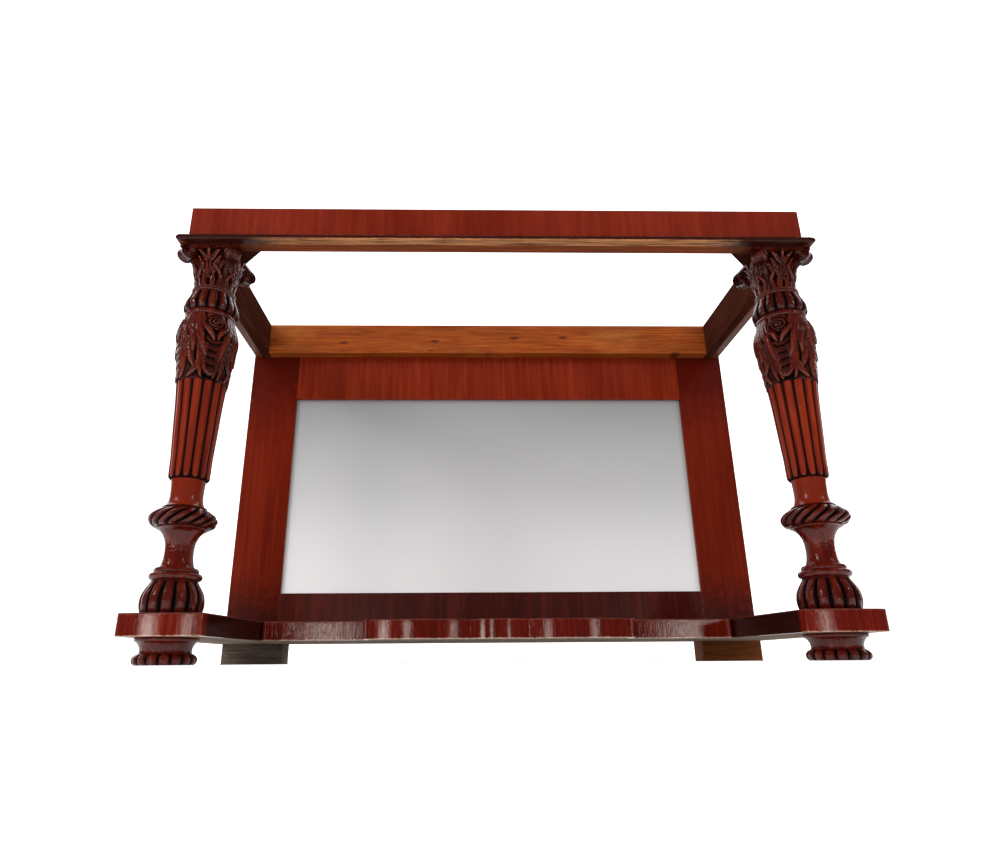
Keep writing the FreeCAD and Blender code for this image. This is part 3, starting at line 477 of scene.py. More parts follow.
# Mahogany veneer on the plinth: long straight grain and a level polish.
plinth_veneer = timber(
    "polished_plinth_veneer", "#3d0f0a", "#5a170d", "#7a2414", "X", 0.008, 0.32, shine=0.35, pores=0.3
)
for board in ("plinth_centre_board", "plinth_end_board_left", "plinth_end_board_right"):
    eased(board, 0.0004, "board_pine", dusty_pine)
eased("plinth_front_edging", 0.0007, "edging_mahogany", edging_mahogany)
for edging in ("plinth_end_edging_left", "plinth_end_edging_right"):
    eased(edging, 0.0007, "edging_mahogany", end_edging_mahogany)
eased("plinth_top_veneer", 0.0006, "veneer_mahogany", plinth_veneer)

# ---- base turnings ----
# Each is one block of mahogany, turned to a lobed bulb, two rings and a waisted spool with a flared lip. It
# stands on the plinth, and the front foot's pin comes up into it.

base_rows = along_profile(
    (46, [
        (46.5, 83, 2, 0.2), (50.6, 88, 3.6), (52.8, 97, 4.4), (53, 106, 4.4), (51.2, 116.5, 4.4),
        (47, 126, 4.2), (42.6, 133.5, 3.4, 0.2), (39.4, 139.5, 1.8, 0.7), (38.6, 141, 0.6, 1),
    ]),
    (14, [(38.6, 141.2), (42.2, 143), (44.4, 147.2), (44.3, 151), (42, 153.6), (39, 154.2)]),
    (8, [(36.5, 154.3), (37.6, 157), (37.5, 160.2), (36, 163)]),
    (30, [
        (31.5, 163.2), (28.2, 168), (25.6, 178), (24.6, 192), (25.6, 207), (28.6, 217), (33, 225),
        (38, 230.2), (42.6, 232.6),
    ]),
    (5, [(43.9, 232.9), (44.2, 234.6), (43.6, 236)]),
)
lobed_pair("base_turning", base_rows, 280, carved_mahogany, 14, 0.85)

# ---- rope rings ----
# A turned mahogany ring, carved with slanting lobes like a laid rope. Both were carved to the same hand, and
# a peg holds each in the base turning.

rope_rows = along_profile(
    (44, [
        (46.5, 236, 1.5, 0.6), (52.2, 238, 4, 0.2), (56.8, 243.5, 5.5), (59, 250.5, 6), (57.2, 256.5, 6),
        (52.4, 262, 5.5), (45, 267.2, 4, 0.2), (38.6, 270.6, 1.6, 0.7), (37.6, 271.3, 0.4, 1),
    ]),
    (6, [(37.4, 271.5), (38.6, 272.5), (37.6, 273.8), (36.4, 274)]),
)
# The strands go 50 degrees round over the 38 mm of the ring's height.
slant = 50 / 360 / 0.038
lobed_pair("rope_ring", rope_rows, 320, carved_mahogany, 16, 0.9, foot=0.236, turns=slant, flip=False)

# ---- reeded shafts ----
# Mahogany, turned to a taper and reeded by hand along its length. The reeds end in round noses over a plain
# neck, and a peg at the foot stands in the rope ring.

shaft_rows = along_profile(
    (22, [(36.2, 274), (33, 277.5), (30.4, 283), (29, 292), (28.8, 300), (29.2, 312), (30, 324.6)]),
    (16, [
        (36.3, 324.8, 6.3, 1), (36.3, 326.9, 6.2, 0.75), (36.3, 328.9, 6, 0.5), (36.3, 331, 5.7, 0.25),
        (36.3, 333, 5.4),
    ]),
    (60, [
        (36.3, 333.3, 5.3), (36.6, 345, 3.8), (37, 368, 3.4), (38.8, 400, 3.4), (40.3, 428, 3.5),
        (42, 462, 3.6), (43.4, 485, 3.7), (45.8, 515, 3.8),
    ]),
)
# The same polish on the reeds, which are redder because handling has kept them clean. The channels between
# them are painted darker, part dirt and part painted shade.
reed_mahogany = timber(
    "french_polished_reeded_mahogany", "#6a1402", "#8a2503", "#a63704", "Z", 0.009, 0.2, shine=0.36,
    pores=0.2, dirt_and_shade="#1a0401", bands=[("Z", "#721d04", 0.332, 0.318)],
)
lobed_pair("reeded_shaft", shaft_rows, 280, reed_mahogany, 14, 0.86)

# ---- leaf vases ----
# Each vase is turned and then carved with four hanging acanthus leaves. Between the leaves are scrolls over
# husks, and above them a plain band, a collar of petals and a small ring.

VASE_FOOT = 0.515
# The leaves are turned round the column by 8 degrees. A degree is 0.98 mm round the vase, so the middle of a
# leaf lies 44.1 mm from that of the gap beside it. The scrolls' sizes are in millimetres too.
VASE_TURN, DEGREE, LEAF_TO_GAP = 8.0, 0.98, 44.1
SCROLL_HEIGHT, SCROLL_RADIUS, SCROLL_PITCH = 119, 17.2, 5.7


def stroke(across, up, points, widths, height, veins=1.0, groove=0.7, curl=0.0):
    """The height, in millimetres, that one carved lobe stands up along a bent spine. Its widths are at the
    root, the middle and the tip. It is gouged hollow between crisp edges, and its tip may curl outwards."""
    best = np.full(across.shape, -1.0)
    along = np.zeros_like(across)
    aside = np.zeros_like(across)
    for s in np.linspace(0, 1, 44):
        spine = np.array(points, float)
        while len(spine) > 2:
            spine = (1 - s) * spine[:-1] + s * spine[1:]
        spot = (1 - s) * spine[0] + s * spine[1]
        way = (spine[1] - spine[0]) / np.hypot(*(spine[1] - spine[0]))
        half = (1 - s) ** 2 * widths[0] + 2 * s * (1 - s) * widths[1] + s * s * widths[2]
        dx, dy = across - spot[0], up - spot[1]
        near = 1 - (dx**2 + dy**2) / half**2
        closer = near > best
        best = np.where(closer, near, best)
        along = np.where(closer, s, along)
        aside = np.where(closer, (dx * way[1] - dy * way[0]) / half, aside)
    raised = height * best.clip(0) ** 0.36 * (1 + curl * along**2)
    grooved = groove * (0.5 + 0.5 * np.cos(2 * math.pi * veins * aside)) * (best / 0.3).clip(0, 1)
    return (raised - grooved).clip(0)


def soften(field, reach):
    """A field averaged over reach samples each way. It wraps round the column."""
    for _ in range(2):
        total = np.zeros_like(field)
        for shift in range(-reach, reach + 1):
            total += np.roll(field, shift, axis=1)
        field = total / (2 * reach + 1)
        padded = np.pad(field, ((reach, reach), (0, 0)), mode="edge")
        field = sum(padded[i : i + field.shape[0]] for i in range(2 * reach + 1)) / (2 * reach + 1)
    return field


def petals(angle, count, share, closing):
    """How high round lobes stand at each angle, from 0 to 1, as their ends close."""
    across = (((angle / (2 * math.pi) * count + 0.5) % 1) * 2 - 1) / share
    return np.sqrt((1 - across**2 - closing**2).clip(0))


around = 320
angle = np.arange(around) * 2 * math.pi / around
vase_up = np.linspace(0, 142, 190)
local = (np.degrees(angle)[None, :] - VASE_TURN + 45) % 90 - 45
across = np.broadcast_to(local, (len(vase_up), around)) * DEGREE
up = np.broadcast_to(vase_up[:, None], across.shape)
from_gap = np.where(across > 0, across - LEAF_TO_GAP, across + LEAF_TO_GAP)
lower_tier = np.zeros_like(across)
for points, widths, veins in (
    ([(14, 84), (24, 54), (15, 28), (26, 5)], (7, 12, 2), 1.0),
    ([(-14, 84), (-22, 60), (-16, 30), (-25, 5)], (7, 11, 2), 1.0),
    ([(-28, 70), (-29, 40), (-12, 24), (5, 5)], (6, 11, 2), 0.5),
    ([(30, 70), (36, 46), (27, 28), (37, 6)], (5, 10, 2), 0.5),
    ([(4, 84), (9, 62), (4, 46), (-6, 28)], (8, 13, 2.5), 1.5),
):
    lower_tier = np.maximum(lower_tier, stroke(across, up, points, widths, 3.0, veins, 0.45, 0.3))
foot_leaf = stroke(from_gap, up, [(-19, 52), (-19, 0), (19, 0), (19, 52)], (3.5, 5.5, 3.5), 3.4, 0.5, 0.6)
lower_tier = np.maximum(lower_tier, foot_leaf)
upper_tier = np.zeros_like(across)
for points, widths, veins in (
    ([(1, 143), (5, 116), (-5, 92), (-4, 56)], (5, 15, 2), 2.0),
    ([(9, 143), (9, 112), (22, 88), (30, 48)], (5.5, 14, 2), 1.5),
    ([(-7, 143), (-9, 110), (-14, 84), (-29, 50)], (5.5, 14, 2), 1.5),
    ([(15, 143), (17, 116), (32, 112), (39, 84)], (4.5, 12, 2), 0.5),
    ([(-13, 143), (-15, 116), (-29, 108), (-42, 82)], (4.5, 11, 2), 0.5),
):
    upper_tier = np.maximum(upper_tier, stroke(across, up, points, widths, 4.9, veins, 0.55, 0.14))
# Husks in the gaps: scales that overlap downwards, each thickest at its rim.
rims = np.array([13.0, 30, 45, 59, 73, 88, 104])
level = up - 0.03 * from_gap**2
scale = np.interp(level, rims, np.arange(7.0))
scale = 1 - (scale - np.floor(scale))
reach_out = np.abs(from_gap) / np.interp(up, [4, 14, 40, 90, 104], [6, 20, 19, 21, 23])
husks = (0.7 + 2.7 * scale**1.4) * (1 - reach_out.clip(0, 1) ** 5) * (level > 13)
relief = np.where(upper_tier > 1.0, upper_tier, np.maximum(np.maximum(lower_tier, husks), upper_tier))
# Scrolls above the husks, each a spiral ridge round a button.
reach = np.hypot(from_gap / 1.3, up - SCROLL_HEIGHT)
swirl = np.arctan2(up - SCROLL_HEIGHT, from_gap / 1.3)
spiral = 3.2 + 2.0 * np.cos(2 * math.pi * reach / SCROLL_PITCH - swirl)
spiral = np.where(reach < 2.8, 5.4, spiral) * ((SCROLL_RADIUS - reach) / 1.2).clip(0, 1)
relief = np.where(reach < SCROLL_RADIUS, np.maximum(spiral, 0.5 * upper_tier), relief)
in_gap = ((np.abs(from_gap) < 20) & (upper_tier < 1.0) & (lower_tier < 2.4)) | (reach < SCROLL_RADIUS)
vase_radius = np.interp(vase_up, [0, 97, 101, 108, 119.5, 130, 142], [44.5, 54, 54, 53.3, 50.5, 47.4, 43.5])
scallops = 0.72 + 0.28 * np.cos(32 * angle)
lip = 2.9 * np.exp(-(((vase_up - 3.0) / 2.8) ** 2))[:, None] * scallops[None, :]
vase_field = vase_radius[:, None] + np.minimum(np.maximum(relief, lip), 5.6)
band_rows = along_profile(
    (10, [(45.6, 657), (47.3, 658.6), (47.8, 662), (47, 665.4), (45, 667.6)]),
    (34, [
        (46.5, 668, 2, 0.7), (50.6, 670.5, 3.4, 0.3), (52.4, 677, 3.8), (52.2, 685, 3.6), (49, 694, 2.6),
        (46.6, 700, 3.2), (44.4, 706, 2.6, 0.1), (42.4, 710.5, 1, 0.6), (41, 712, 0.3, 1),
    ]),
    (7, [(40.4, 712.2), (42, 713.6), (42, 715.8), (40.2, 717)]),
    (7, [(40.2, 717.2), (42, 718.4), (42, 720.6), (40, 722)]),
)
petal = petals(angle[None, :], 16, 0.84, band_rows[:, 3:4])
collar_field = band_rows[:, :1] - band_rows[:, 2:3] * (1 - petal)
# The vase is painted darker in its hollows, in the gaps between leaves and on its bare ground, part dirt and
# part painted shade, and paler on its crests, part rubbed wear and part painted highlight. The collar is
# painted darker between its petals in the same way.
vase_dirt_and_shade = ((soften(relief, 5) - relief) / 1.9 + 0.4 * in_gap + 0.5 * (relief < 0.9)).clip(-1, 1)
collar_dirt_and_shade = (band_rows[:, 2:3] * (1 - petal) / 0.0022).clip(0, 1)
vase_radii = np.vstack([vase_field / 1000, collar_field])
vase_heights = np.concatenate([vase_up / 1000 + VASE_FOOT, band_rows[:, 1]])[:, None]
vase_skin = closed_skin(rings_at(vase_radii, vase_heights), np.vstack([vase_dirt_and_shade, collar_dirt_and_shade]))
# The carved leaves are darker than the turnings, and the marks of the gouge break their polish into glints.
# Their hollows are painted darker, part dirt and part painted shade, and their crests paler, part rubbed wear
# and part painted highlight.
leaf_mahogany = timber(
    "french_polished_leaf_mahogany", "#340905", "#521206", "#742708", "Z", 0.011, 0.13, shine=0.42, pores=0.1,
    dirt_and_shade="#060101", crest_wear_and_highlight="#8c3c20", tooled=0.0014,
)
settle_pair(make("leaf_vase_carved_right", vase_skin), "leaf_vase", leaf_mahogany)

# ---- capitals ----
# A bell with a leaf on each face and a hollow stem at each corner. The stems carry rolled volutes, and a
# thin top plate with hollow sides lies over them, under the frieze.

CAPITAL_FOOT = 0.722
# The leaf is drawn, in millimetres, as it lies round the bell at this radius.
LEAF_RADIUS = 38
bell_up = np.linspace(0, 79, 110)
local = (np.degrees(angle)[None, :] + 45) % 90 - 45
bell_radius = np.interp(bell_up, [0, 20, 39, 58, 79], [33.4, 36, 39.6, 44, 50])
across = np.radians(np.broadcast_to(local, (len(bell_up), around))) * LEAF_RADIUS
up = np.broadcast_to(bell_up[:, None], across.shape)
side = np.abs(across)
leaf = np.zeros_like(across)
for points, widths, height, veins, groove, curl in (
    ([(17, 0), (22, 10), (24, 29)], (4, 7, 1.6), 3.4, 1, 0.5, 0.2),
    ([(8, 3), (8.6, 12), (8.6, 24)], (5, 8, 2.4), 5.0, 1, 0.0, 0.0),
    ([(2.2, 20), (2.6, 40), (3.6, 63)], (2.4, 4.2, 1.4), 4.2, 1, 0.5, 0.1),
    ([(8, 30), (11, 46), (18, 64)], (4, 7.5, 1.6), 4.2, 1.5, 0.8, 0.3),
    ([(9, 46), (17, 38), (23, 22)], (2.4, 4.2, 2.6), 5.4, 1, 0.3, 0.0),
    ([(18, 40), (22, 52), (27, 65)], (4, 6, 1.6), 3.6, 1, 0.6, 0.3),
    ([(5, 56), (8, 66), (15, 75)], (3.4, 6, 1.6), 4.6, 1, 0.6, 0.3),
    ([(0, 58), (0, 66), (0, 75)], (2.6, 4, 2.4), 4.6, 1, 0.5, 0.3),
):
    leaf = np.maximum(leaf, stroke(side, up, points, widths, height, veins, groove, curl))
stem_radius = np.interp(bell_up, [0, 14, 33, 46, 58, 79], [36, 38.5, 43, 48, 61, 61])[:, None]
stem_half = 5.5
off_corner = np.abs(np.abs(np.radians(local)) - math.pi / 4) * stem_radius
stem = (stem_radius - 2.2 * (off_corner / stem_half).clip(0, 1) ** 2) * (off_corner < stem_half)
bell_field = np.maximum(bell_radius[:, None] + leaf, stem)
# The bell is painted darker all over, more so in its hollows and on its bare ground, part dirt and part
# painted shade, and paler on its leaves' crests, part rubbed wear and part painted highlight.
bell_dirt_and_shade = ((soften(leaf, 4) - leaf) / 1.8 + 0.25 + 0.55 * ((leaf < 0.8) & (stem < 1))).clip(-1, 1)
bell = closed_skin(rings_at(bell_field / 1000, (bell_up / 1000 + CAPITAL_FOOT)[:, None]), bell_dirt_and_shade)


def volute_skin(turn):
    """A rolled volute that lies across one corner, with a hollow rim and a spiral carved into each end."""
    steps = 96
    sweep = np.arange(steps) * 2 * math.pi / steps
    radius, half, pitch = 0.0155, 0.012, 0.0048
    off_axis, height = 0.0637, 0.7893
    rows = []
    shades = []
    for end in (-1, 1):
        for r in np.linspace(0.0012, radius, 18)[:: 1 if end < 0 else -1]:
            carved = pitch < r < radius - 0.0006
            wave = 0.0013 * np.cos(2 * math.pi * r / pitch + end * sweep) * carved
            boss = 0.0012 if r < 0.0044 else 0.0
            rows.append((np.full(steps, r), end * (half - 0.0008 + wave + boss)))
            shades.append((0.35 - wave / 0.0016).clip(0, 1) * (r > pitch))
        if end < 0:
            for s in np.linspace(-0.96, 0.96, 13):
                rim = radius - 0.0016 * max(0.0, 1 - (s / 0.78) ** 2)
                rows.append((np.full(steps, rim), np.full(steps, s * half)))
                shades.append(np.full(steps, 0.35 if abs(s) < 0.7 else 0.0))
    rings = []
    for r, out in rows:
        rings.append(np.stack([r * np.cos(sweep), np.broadcast_to(out, r.shape), r * np.sin(sweep)], axis=1))
    rings = np.array(rings)[:, ::-1]
    x = off_axis + rings[..., 0]
    y = rings[..., 1]
    cos, sin = math.cos(turn), math.sin(turn)
    world = [COLUMN[0] + x * cos - y * sin, COLUMN[1] + x * sin + y * cos, height + rings[..., 2]]
    return closed_skin(np.stack(world, axis=2), np.array(shades)[:, ::-1])


# The top plate is 118 mm square, with sides hollowed by 7 mm and corners cut off over 6 mm.
half, hollowed, cut_off = 0.059, 0.007, 0.006
bearing = np.radians(local[0])
hollow_side = half - hollowed * np.cos(bearing * 2).clip(0) ** 0.8
cut_corner = (2 * half - cut_off) / math.sqrt(2) / np.cos(np.abs(bearing) - math.pi / 4)
plate = np.minimum(hollow_side / np.cos(bearing), cut_corner)
plate_rows = [(0.9985, 0.8), (1.0, 0.8006), (1.0, 0.8044), (0.9985, 0.805)]
plate_radii = np.array([plate * share for share, _ in plate_rows])
plate_rings = rings_at(plate_radii, np.array([[z] for _, z in plate_rows]))
volutes = [volute_skin(math.radians(45 + 90 * i)) for i in range(4)]
capital = make("capital_carved_right", bell, *volutes, closed_skin(plate_rings))
settle_pair(capital, "capital", leaf_mahogany)

# ---- frieze frame ----
# Pine rails, dovetailed at the front, faced with thin mahogany whose grain runs upright. A nosed moulding
# with a milled edge goes round the foot, and triangular blocks in the corners take the capitals' dowels.

# Cross-grained mahogany facing: warm red-brown with upright streaks under a level polish.
facing_mahogany = timber(
    "polished_cross_grained_mahogany", "#6c1808", "#7c200a", "#8c2c0d", "Z", 0.012, 0.26, shine=0.25,
    pores=0.25, worn="#3a1009",
)
# Mahogany moulding: darkened by hands, darker still towards its ends, and rubbed pale along its lower lip.
moulding_mahogany = timber(
    "polished_moulding_mahogany", "#2a0b05", "#42120a", "#5c1e0c", "X", 0.005, 0.3, shine=0.2, pores=0.3,
    worn="#c08468", lip=("#cc8c58", 0.805, 0.8078), bands=[("X", "#300d06", 0.42, 0.5)],
)
# The same moulding along the ends, dull and brown below.
end_moulding_mahogany = timber(
    "dull_end_moulding_mahogany", "#2a0b05", "#42120a", "#5c1e0c", "Y", 0.005, 0.4, shine=0.15, pores=0.3,
    worn="#8c4c30", lip=("#6e3c24", 0.805, 0.8078),
)
# Old pine of the front rail: brown and bare below, and darker towards its ends.
front_pine = timber(
    "bare_brown_pine", "#6c2c10", "#86401c", "#a05a2e", "X", 0.006, 0.6, shine=0.15, pores=0.4,
    bands=[("X", "#3c1409", 0.45, 0.54)],
)
# Old pine of the rear rail: orange-brown and bare, with pale stains and knots.
rail_pine = timber(
    "bare_aged_pine", "#7c2f0a", "#9c4814", "#b96424", "X", 0.005, 0.6, shine=0.15, pores=0.4,
    stains=("#b87434", "#4c1c08"),
)
# Darkened pine inside the frame.
dark_pine = timber("darkened_pine", "#301610", "#47241a", "#5b3223", "Y", 0.006, 0.8, shine=0.0, pores=0.4)
eased("frieze_front_facing", 0.0006, "veneer_mahogany", facing_mahogany)
for end in ("left", "right"):
    eased("frieze_side_facing_" + end, 0.0006, "veneer_mahogany", facing_mahogany)
    eased("frieze_moulding_" + end, 0.0003, "moulding_mahogany", end_moulding_mahogany)
    eased("frieze_side_rail_" + end, 0.0006, "stained_pine", dark_pine)
    eased("corner_block_" + end, 0.0008, "stained_pine", dark_pine)
eased("frieze_moulding_front", 0.0003, "moulding_mahogany", moulding_mahogany)
eased("frieze_front_rail", 0.0006, "rail_pine", front_pine)
eased("frieze_rear_rail", 0.0008, "rail_pine", rail_pine)


def pattern_tree():
    """Geometry nodes that set a small pattern at each point, turned as the point says."""
    tree, keys = new_tree("set patterns", ("Pattern", "Object"), ("Finish", "Material"))
    given = add(tree, "NodeGroupInput").outputs
    pattern = add(tree, "GeometryNodeObjectInfo", {"Object": given["Pattern"]}).outputs["Geometry"]
    turn = add(tree, "GeometryNodeInputNamedAttribute", {"Name": "turn"}, data_type="FLOAT_VECTOR")
    turned = add(tree, "FunctionNodeEulerToRotation", {0: turn})
    places = {"Points": given["Geometry"], "Instance": pattern, "Rotation": turned}
    copies = add(tree, "GeometryNodeInstanceOnPoints", places)
    real = add(tree, "GeometryNodeRealizeInstances", {0: copies})
    finished = add(tree, "GeometryNodeSetMaterial", {"Geometry": real, "Material": given["Finish"]})
    add(tree, "NodeGroupOutput", {0: finished})
    return tree, keys


set_patterns, pattern_keys = pattern_tree()


def repeated(name, pattern, places, turns, slot, material, *replaced):
    """One piece made of copies of a pattern at places, each turned by three angles."""
    mesh = bpy.data.meshes.new(name)
    mesh.from_pydata(places, [], [])
    layer = mesh.attributes.new("turn", "FLOAT_VECTOR", "POINT")
    layer.data.foreach_set("vector", np.array(turns, np.float32).reshape(-1))
    piece = placed(name, mesh)
    setting = piece.modifiers.new("setting", "NODES")
    setting.node_group = set_patterns
    setting[pattern_keys["Pattern"]] = pattern
    setting[pattern_keys["Finish"]] = material
    plain_mesh(piece)
    settle(piece, slot, material, *replaced)


def small_turning(name, around, rows):
    """The mesh of a small turned form about the origin, from its radii and heights in millimetres."""
    rows = np.array(rows) / 1000
    radius = np.repeat(rows[:, :1], around, axis=1)
    points, faces, _ = closed_skin(rings_at(radius, rows[:, 1:], (0.0, 0.0)))
    mesh = bpy.data.meshes.new(name)
    mesh.from_pydata(points.tolist(), [], faces)
    return mesh


# Ticks milled along the moulding's upper arris, 6.3 mm apart, each an oval bead.
TICK_STEP, TICK_HEIGHT = 0.0063, 0.8164
tick_rows = [(0.3, -2.5), (1.1, -1.9), (1.6, 0.0), (1.1, 1.9), (0.3, 2.5)]
tick = bpy.data.objects.new("moulding_tick", small_turning("moulding_tick", 8, tick_rows))
tick.data.shade_smooth()
front_ticks = np.arange(-0.6345, 0.6345, TICK_STEP)
side_ticks = np.arange(-0.2665, 0.244, TICK_STEP)
tick_places = [(x, -0.2727, TICK_HEIGHT) for x in front_ticks]
tick_turns = [(0.0, math.pi / 2, 0.0)] * len(front_ticks)
for x in (-0.6377, 0.6377):
    tick_places += [(x, y, TICK_HEIGHT) for y in side_ticks]
    tick_turns += [(math.pi / 2, 0.0, 0.0)] * len(side_ticks)
repeated("moulding_ticks", tick, tick_places, tick_turns, "moulding_mahogany", moulding_mahogany)

# ---- mirror back ----
# Two stiles and two rails, mortised and pegged, frame a plate of silvered glass. Slips hold the plate in its
# rebate and three pine boards close the back.

# Orange-red polished mahogany with upright grain, darker at the foot of the stiles and towards their tops.
frame_mahogany = timber(
    "polished_frame_mahogany", "#641504", "#761d06", "#88290a", "Z", 0.012, 0.2, shine=0.18, pores=0.25,
    worn="#96502c", bands=[("Z", "#360a04", 0.21, 0.09), ("Z", "#500f05", 0.55, 0.73)],
)
# The top rail has kept a warmer and lighter polish than the stiles.
rail_mahogany = timber(
    "polished_rail_mahogany", "#6e1a0a", "#82260e", "#963214", "Z", 0.012, 0.22, shine=0.2, pores=0.25,
    worn="#96502c",
)
# The same wood, darker, on the bottom rail behind the plinth's ornaments.
low_mahogany = timber(
    "polished_dark_frame_mahogany", "#380c06", "#4e1209", "#661d0e", "Z", 0.012, 0.26, shine=0.2, pores=0.25,
    worn="#96502c",
)
for part, wood in (
    ("back_stile_left", frame_mahogany),
    ("back_stile_right", frame_mahogany),
    ("back_top_rail", rail_mahogany),
    ("back_bottom_rail", low_mahogany),
):
    eased(part, 0.0006, "frame_mahogany", wood)
# The three backboards came from different planks, so each has its own tone and width of grain.
for i, (deep, body, light, streak) in enumerate((
    ("#71594a", "#927c6b", "#ac9987", 0.006),
    ("#7d6858", "#a08b7a", "#b9a898", 0.009),
    ("#6b5546", "#8a7566", "#a5917f", 0.005),
)):
    plank = timber(
        f"dusty_backboard_pine_{i + 1}", deep, body, light, "X", streak, 0.85, shine=0.1, pores=0.3,
        stains=("#a48f7c", "#4c382c"),
    )
    eased(f"backboard_{i + 1}", 0.0012, "board_pine", plank)
eased("mirror_slips", 0.0005, "board_pine", dusty_pine)

# Silvered plate glass, drawn as a dull pale surface whose colour is a painted reflection of the room and
# painted shade: white at the foot, greyer towards the top.
silver, tree = empty_material("silvered_plate_glass")
height = add(tree, "ShaderNodeSeparateXYZ", {0: add(tree, "ShaderNodeTexCoord").outputs["Object"]}).outputs[2]
fall = add(tree, "ShaderNodeMapRange", {0: height, 1: 0.165, 2: 0.68})
painted_reflection_greys = [(0.0, "#ffffff"), (0.12, "#f4f4f4"), (0.5, "#cccccc"), (1.0, "#999a9a")]
tint = add(tree, "ShaderNodeValToRGB", {"Fac": fall}, painted_reflection_greys)
shader = add(tree, "ShaderNodeBsdfPrincipled", {"Base Color": tint, "Roughness": 0.5, "IOR": 1.5})
add(tree, "ShaderNodeOutputMaterial", {0: shader})
coat(cad["mirror_plate"], silver)

# ---- dowels and screws ----
# Beech dowels join boards and columns. Countersunk steel screws hold the back feet, the backboards and the
# mirror back.

# Dry beech: pale pinkish brown with short flecks.
beech = timber("dry_beech", "#8a6a4c", "#a98560", "#c09c76", "Z", 0.003, 0.7, pores=0.3)
for node in ("capital_dowels", "plinth_dowels", "stile_dowels"):
    coat(cad[node], beech)
# Old steel: dull grey, with brown bloom in patches about 1 mm across.
steel, tree = empty_material("dull_old_steel")
place = add(tree, "ShaderNodeTexCoord").outputs["Object"]
bloom = add(tree, "ShaderNodeTexNoise", {"Vector": place, "Scale": 900.0, "Detail": 3.0})
tint = add(tree, "ShaderNodeValToRGB", {"Fac": bloom}, [(0.42, "#77736d"), (0.6, "#5a4335")])
shader = add(tree, "ShaderNodeBsdfPrincipled", {"Base Color": tint, "Metallic": 0.9, "Roughness": 0.45})
add(tree, "ShaderNodeOutputMaterial", {0: shader})


def wood_screw(length):
    """A countersunk screw, length millimetres long, with its slotted head at the origin."""
    rows = [(0.3, -length), (1.2, -length + 2.0)]
    for turn in np.arange(-length + 3.0, -length * 0.45, 1.8):
        rows += [(1.5, turn), (2.1, turn + 0.9)]
    rows += [(2.1, -length * 0.4), (2.1, -2.8), (4.2, -0.25), (4.2, 0.0), (2.0, 0.0)]
    mesh = small_turning("slotted_screw", 20, rows)
    solid = bmesh.new()
    solid.from_mesh(mesh)
    half_slot = 0.0005
    for edge in (-half_slot, half_slot):
        parts = solid.verts[:] + solid.edges[:] + solid.faces[:]
        bmesh.ops.bisect_plane(solid, geom=parts, plane_co=(0, edge, 0), plane_no=(0, 1, 0))
    slot = []
    for face in solid.faces:
        middle = face.calc_center_median()
        if face.normal.z > 0.9 and abs(middle.y) < half_slot and middle.z > -0.0002:
            slot.append(face)
    cut = bmesh.ops.extrude_face_region(solid, geom=slot)
    floor = [v for v in cut["geom"] if isinstance(v, bmesh.types.BMVert)]
    bmesh.ops.delete(solid, geom=slot, context="FACES")
    for corner in floor:
        corner.co.z -= 0.0011
        corner.co.x *= 0.76
    solid.to_mesh(mesh)
    solid.free()
    mesh.shade_smooth()
    mesh.set_sharp_from_angle(angle=math.radians(40))
    return bpy.data.objects.new("slotted_screw", mesh)


# The screws' heads lie 0.6 mm under the wood, whose back is 277 mm behind the middle of the table.
SINK = 0.0006
BACK = 0.277 - SINK
slots = np.random.default_rng(5)
board_places = [(x, BACK, 0.1946 + 0.0912 * i) for i in range(6) for x in (-0.5365, 0.5365)]
board_places += [(x, BACK, z) for x in (-0.2683, 0.0, 0.2683) for z in (0.149, 0.696)]
frame_places = [(x, BACK, z) for x in (-0.6158, 0.6158) for z in (0.8305, 0.8645)]
foot_places = [(x, 0.245, SINK) for x in (-0.6, -0.53, 0.53, 0.6)]
for node, length, places, tilt in (
    ("backboard_screws", 20.0, board_places, -math.pi / 2),
    ("frame_screws", 62.0, frame_places, -math.pi / 2),
    ("back_foot_screws", 62.0, foot_places, math.pi),
):
    turns = []
    for _ in places:
        spin = slots.uniform(0, math.pi)
        turns.append((tilt, spin, 0.0) if tilt < 0 else (tilt, 0.0, spin))
    repeated(node + "_slotted", wood_screw(length), places, turns, "screw_steel", steel, node)

# ---- room ----
# A white floor and backdrop under soft lamps, and a camera just above the floor. Both sheets glow only for
# the eye and in polish, and the floor keeps the table's shadow.

scene.view_settings.view_transform = "Standard"


def stage_white(name, glow):
    """A white surface that glows for the eye and in polish alone, and keeps shadows."""
    material, tree = empty_material(name)
    path = add(tree, "ShaderNodeLightPath").outputs
    seen = path["Is Camera Ray"]
    for ray in ("Is Glossy Ray", "Is Transmission Ray"):
        seen = add(tree, "ShaderNodeMath", {0: seen, 1: path[ray]}, operation="MAXIMUM")
    power = add(tree, "ShaderNodeMath", {0: seen, 1: glow}, operation="MULTIPLY")
    diffuse = add(tree, "ShaderNodeBsdfDiffuse", {"Color": linear("#f2f2f0")})
    light = add(tree, "ShaderNodeEmission", {"Color": linear("#ffffff"), "Strength": power})
    both = add(tree, "ShaderNodeAddShader", {0: diffuse, 1: light})
    clear = add(tree, "ShaderNodeBsdfTransparent")
    behind = add(tree, "ShaderNodeNewGeometry").outputs["Backfacing"]
    shown = add(tree, "ShaderNodeMixShader", {0: behind, 1: both, 2: clear})
    add(tree, "ShaderNodeOutputMaterial", {0: shown})
    return material


def stage_sheet(name, corners, material):
    """A flat sheet of the room."""
    mesh = bpy.data.meshes.new(name)
    mesh.from_pydata(corners, [], [(0, 1, 2, 3)])
    mesh.materials.append(material)
    placed(name, mesh)


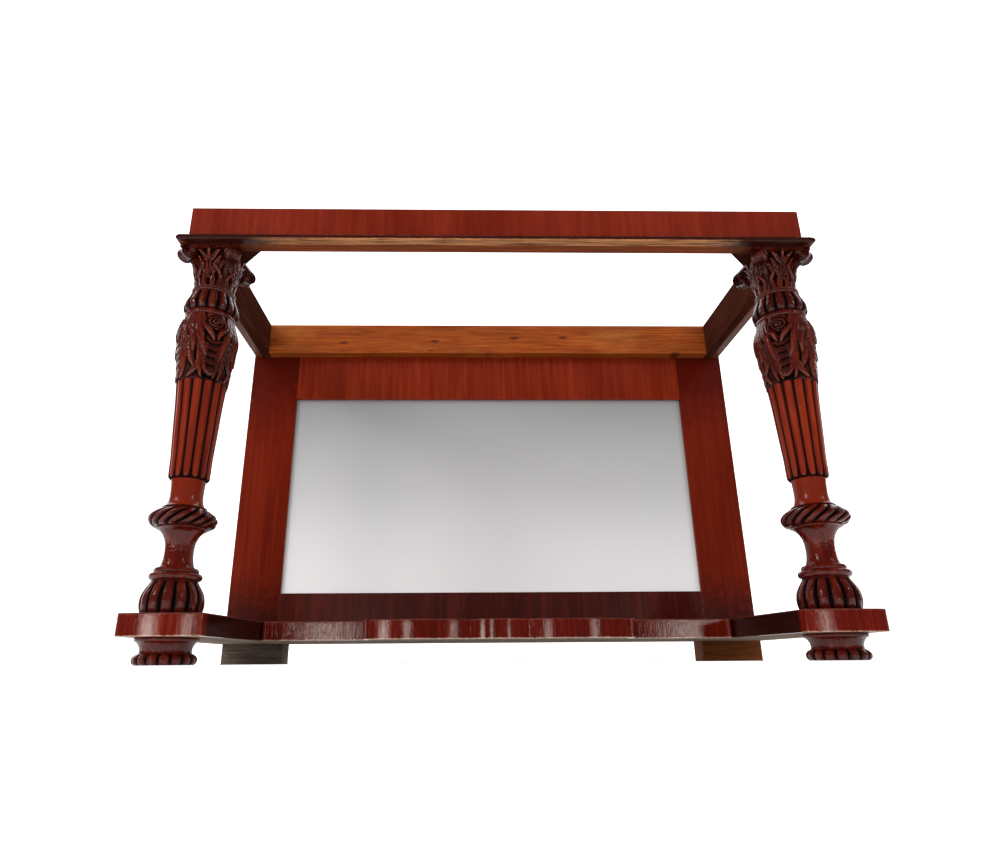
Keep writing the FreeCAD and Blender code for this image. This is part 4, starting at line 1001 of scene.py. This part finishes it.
white_floor = stage_white("white_floor", 0.35)
white_backdrop = stage_white("white_backdrop", 1.0)
stage_sheet("floor", [(-7, -6, 0), (7, -6, 0), (7, 5, 0), (-7, 5, 0)], white_floor)
stage_sheet("backdrop", [(-12, 5, 0), (12, 5, 0), (12, 5, 16), (-12, 5, 16)], white_backdrop)

# The world is pale grey to the table, white to the eye, and faint in polish.
world = bpy.data.worlds.new("pale_room")
scene.world = world
world.use_nodes = True
sky = world.node_tree.nodes["Background"]
path = add(world.node_tree, "ShaderNodeLightPath").outputs
tones = {0: path["Is Camera Ray"], 6: linear("#e9e9eb"), 7: linear("#ffffff")}
shade = add(world.node_tree, "ShaderNodeMix", tones, data_type="RGBA").outputs[2]
strength = add(world.node_tree, "ShaderNodeMapRange", {0: path["Is Glossy Ray"], 3: 1.0, 4: 0.1}).outputs[0]
world.node_tree.links.new(shade, sky.inputs[0])
world.node_tree.links.new(strength, sky.inputs[1])

# Two broad lamps light the table and stay out of its polish, and the small ones give the polish its glints.
# The low ones are warm, and draw the bands of light along the plinth's front.
for name, place, aim, size, power, tint, glints in (
    ("soft left", (-2.6, -2.5, 2.6), (0, -0.1, 0.5), (2.4, 2.4), 44.0, "#ffffff", False),
    ("soft right", (2.7, -2.3, 2.4), (0, -0.1, 0.5), (2.2, 2.2), 11.0, "#ffffff", False),
    ("glint left", (-2.9, -1.9, 2.2), (0, -0.1, 0.5), (0.35, 0.35), 17.0, "#ffffff", True),
    ("glint right", (2.9, -1.8, 2.1), (0, -0.1, 0.5), (0.3, 0.3), 6.0, "#ffffff", True),
    ("low left", (-2.0, -2.5, 0.14), (-0.1, -0.2, 0.3), (0.3, 0.24), 3.4, "#fff0e6", True),
    ("low middle", (-0.9, -2.8, 0.14), (-0.1, -0.2, 0.3), (0.14, 0.24), 1.5, "#fff0e6", True),
    ("low right", (1.35, -2.8, 0.14), (0.1, -0.2, 0.3), (0.14, 0.24), 1.5, "#fff0e6", True),
):
    lamp = bpy.data.lights.new(name, "AREA")
    lamp.shape = "RECTANGLE"
    lamp.size, lamp.size_y = size
    lamp.energy = power
    lamp.color = linear(tint)[:3]
    lamp_object = placed(name, lamp)
    lamp_object.location = place
    lamp_object.rotation_euler = (Vector(aim) - Vector(place)).to_track_quat("-Z", "Y").to_euler()
    lamp_object.visible_glossy = glints

lens = bpy.data.cameras.new("camera")
lens.sensor_fit = "HORIZONTAL"
lens.sensor_width = 36.0
lens.lens = 0.6455 * lens.sensor_width
lens.shift_x = 0.02525
lens.shift_y = 0.0285
lens.clip_start = 0.001
camera = placed("camera", lens)
yaw, pitch, roll = 0.0201, 0.3171, -0.0074
stand = Matrix.Translation((-0.07309, -1.37226, 0.00211)) @ Matrix.Rotation(-yaw, 4, "Z")
camera.matrix_world = stand @ Matrix.Rotation(math.pi / 2 + pitch, 4, "X") @ Matrix.Rotation(roll, 4, "Z")
scene.camera = camera
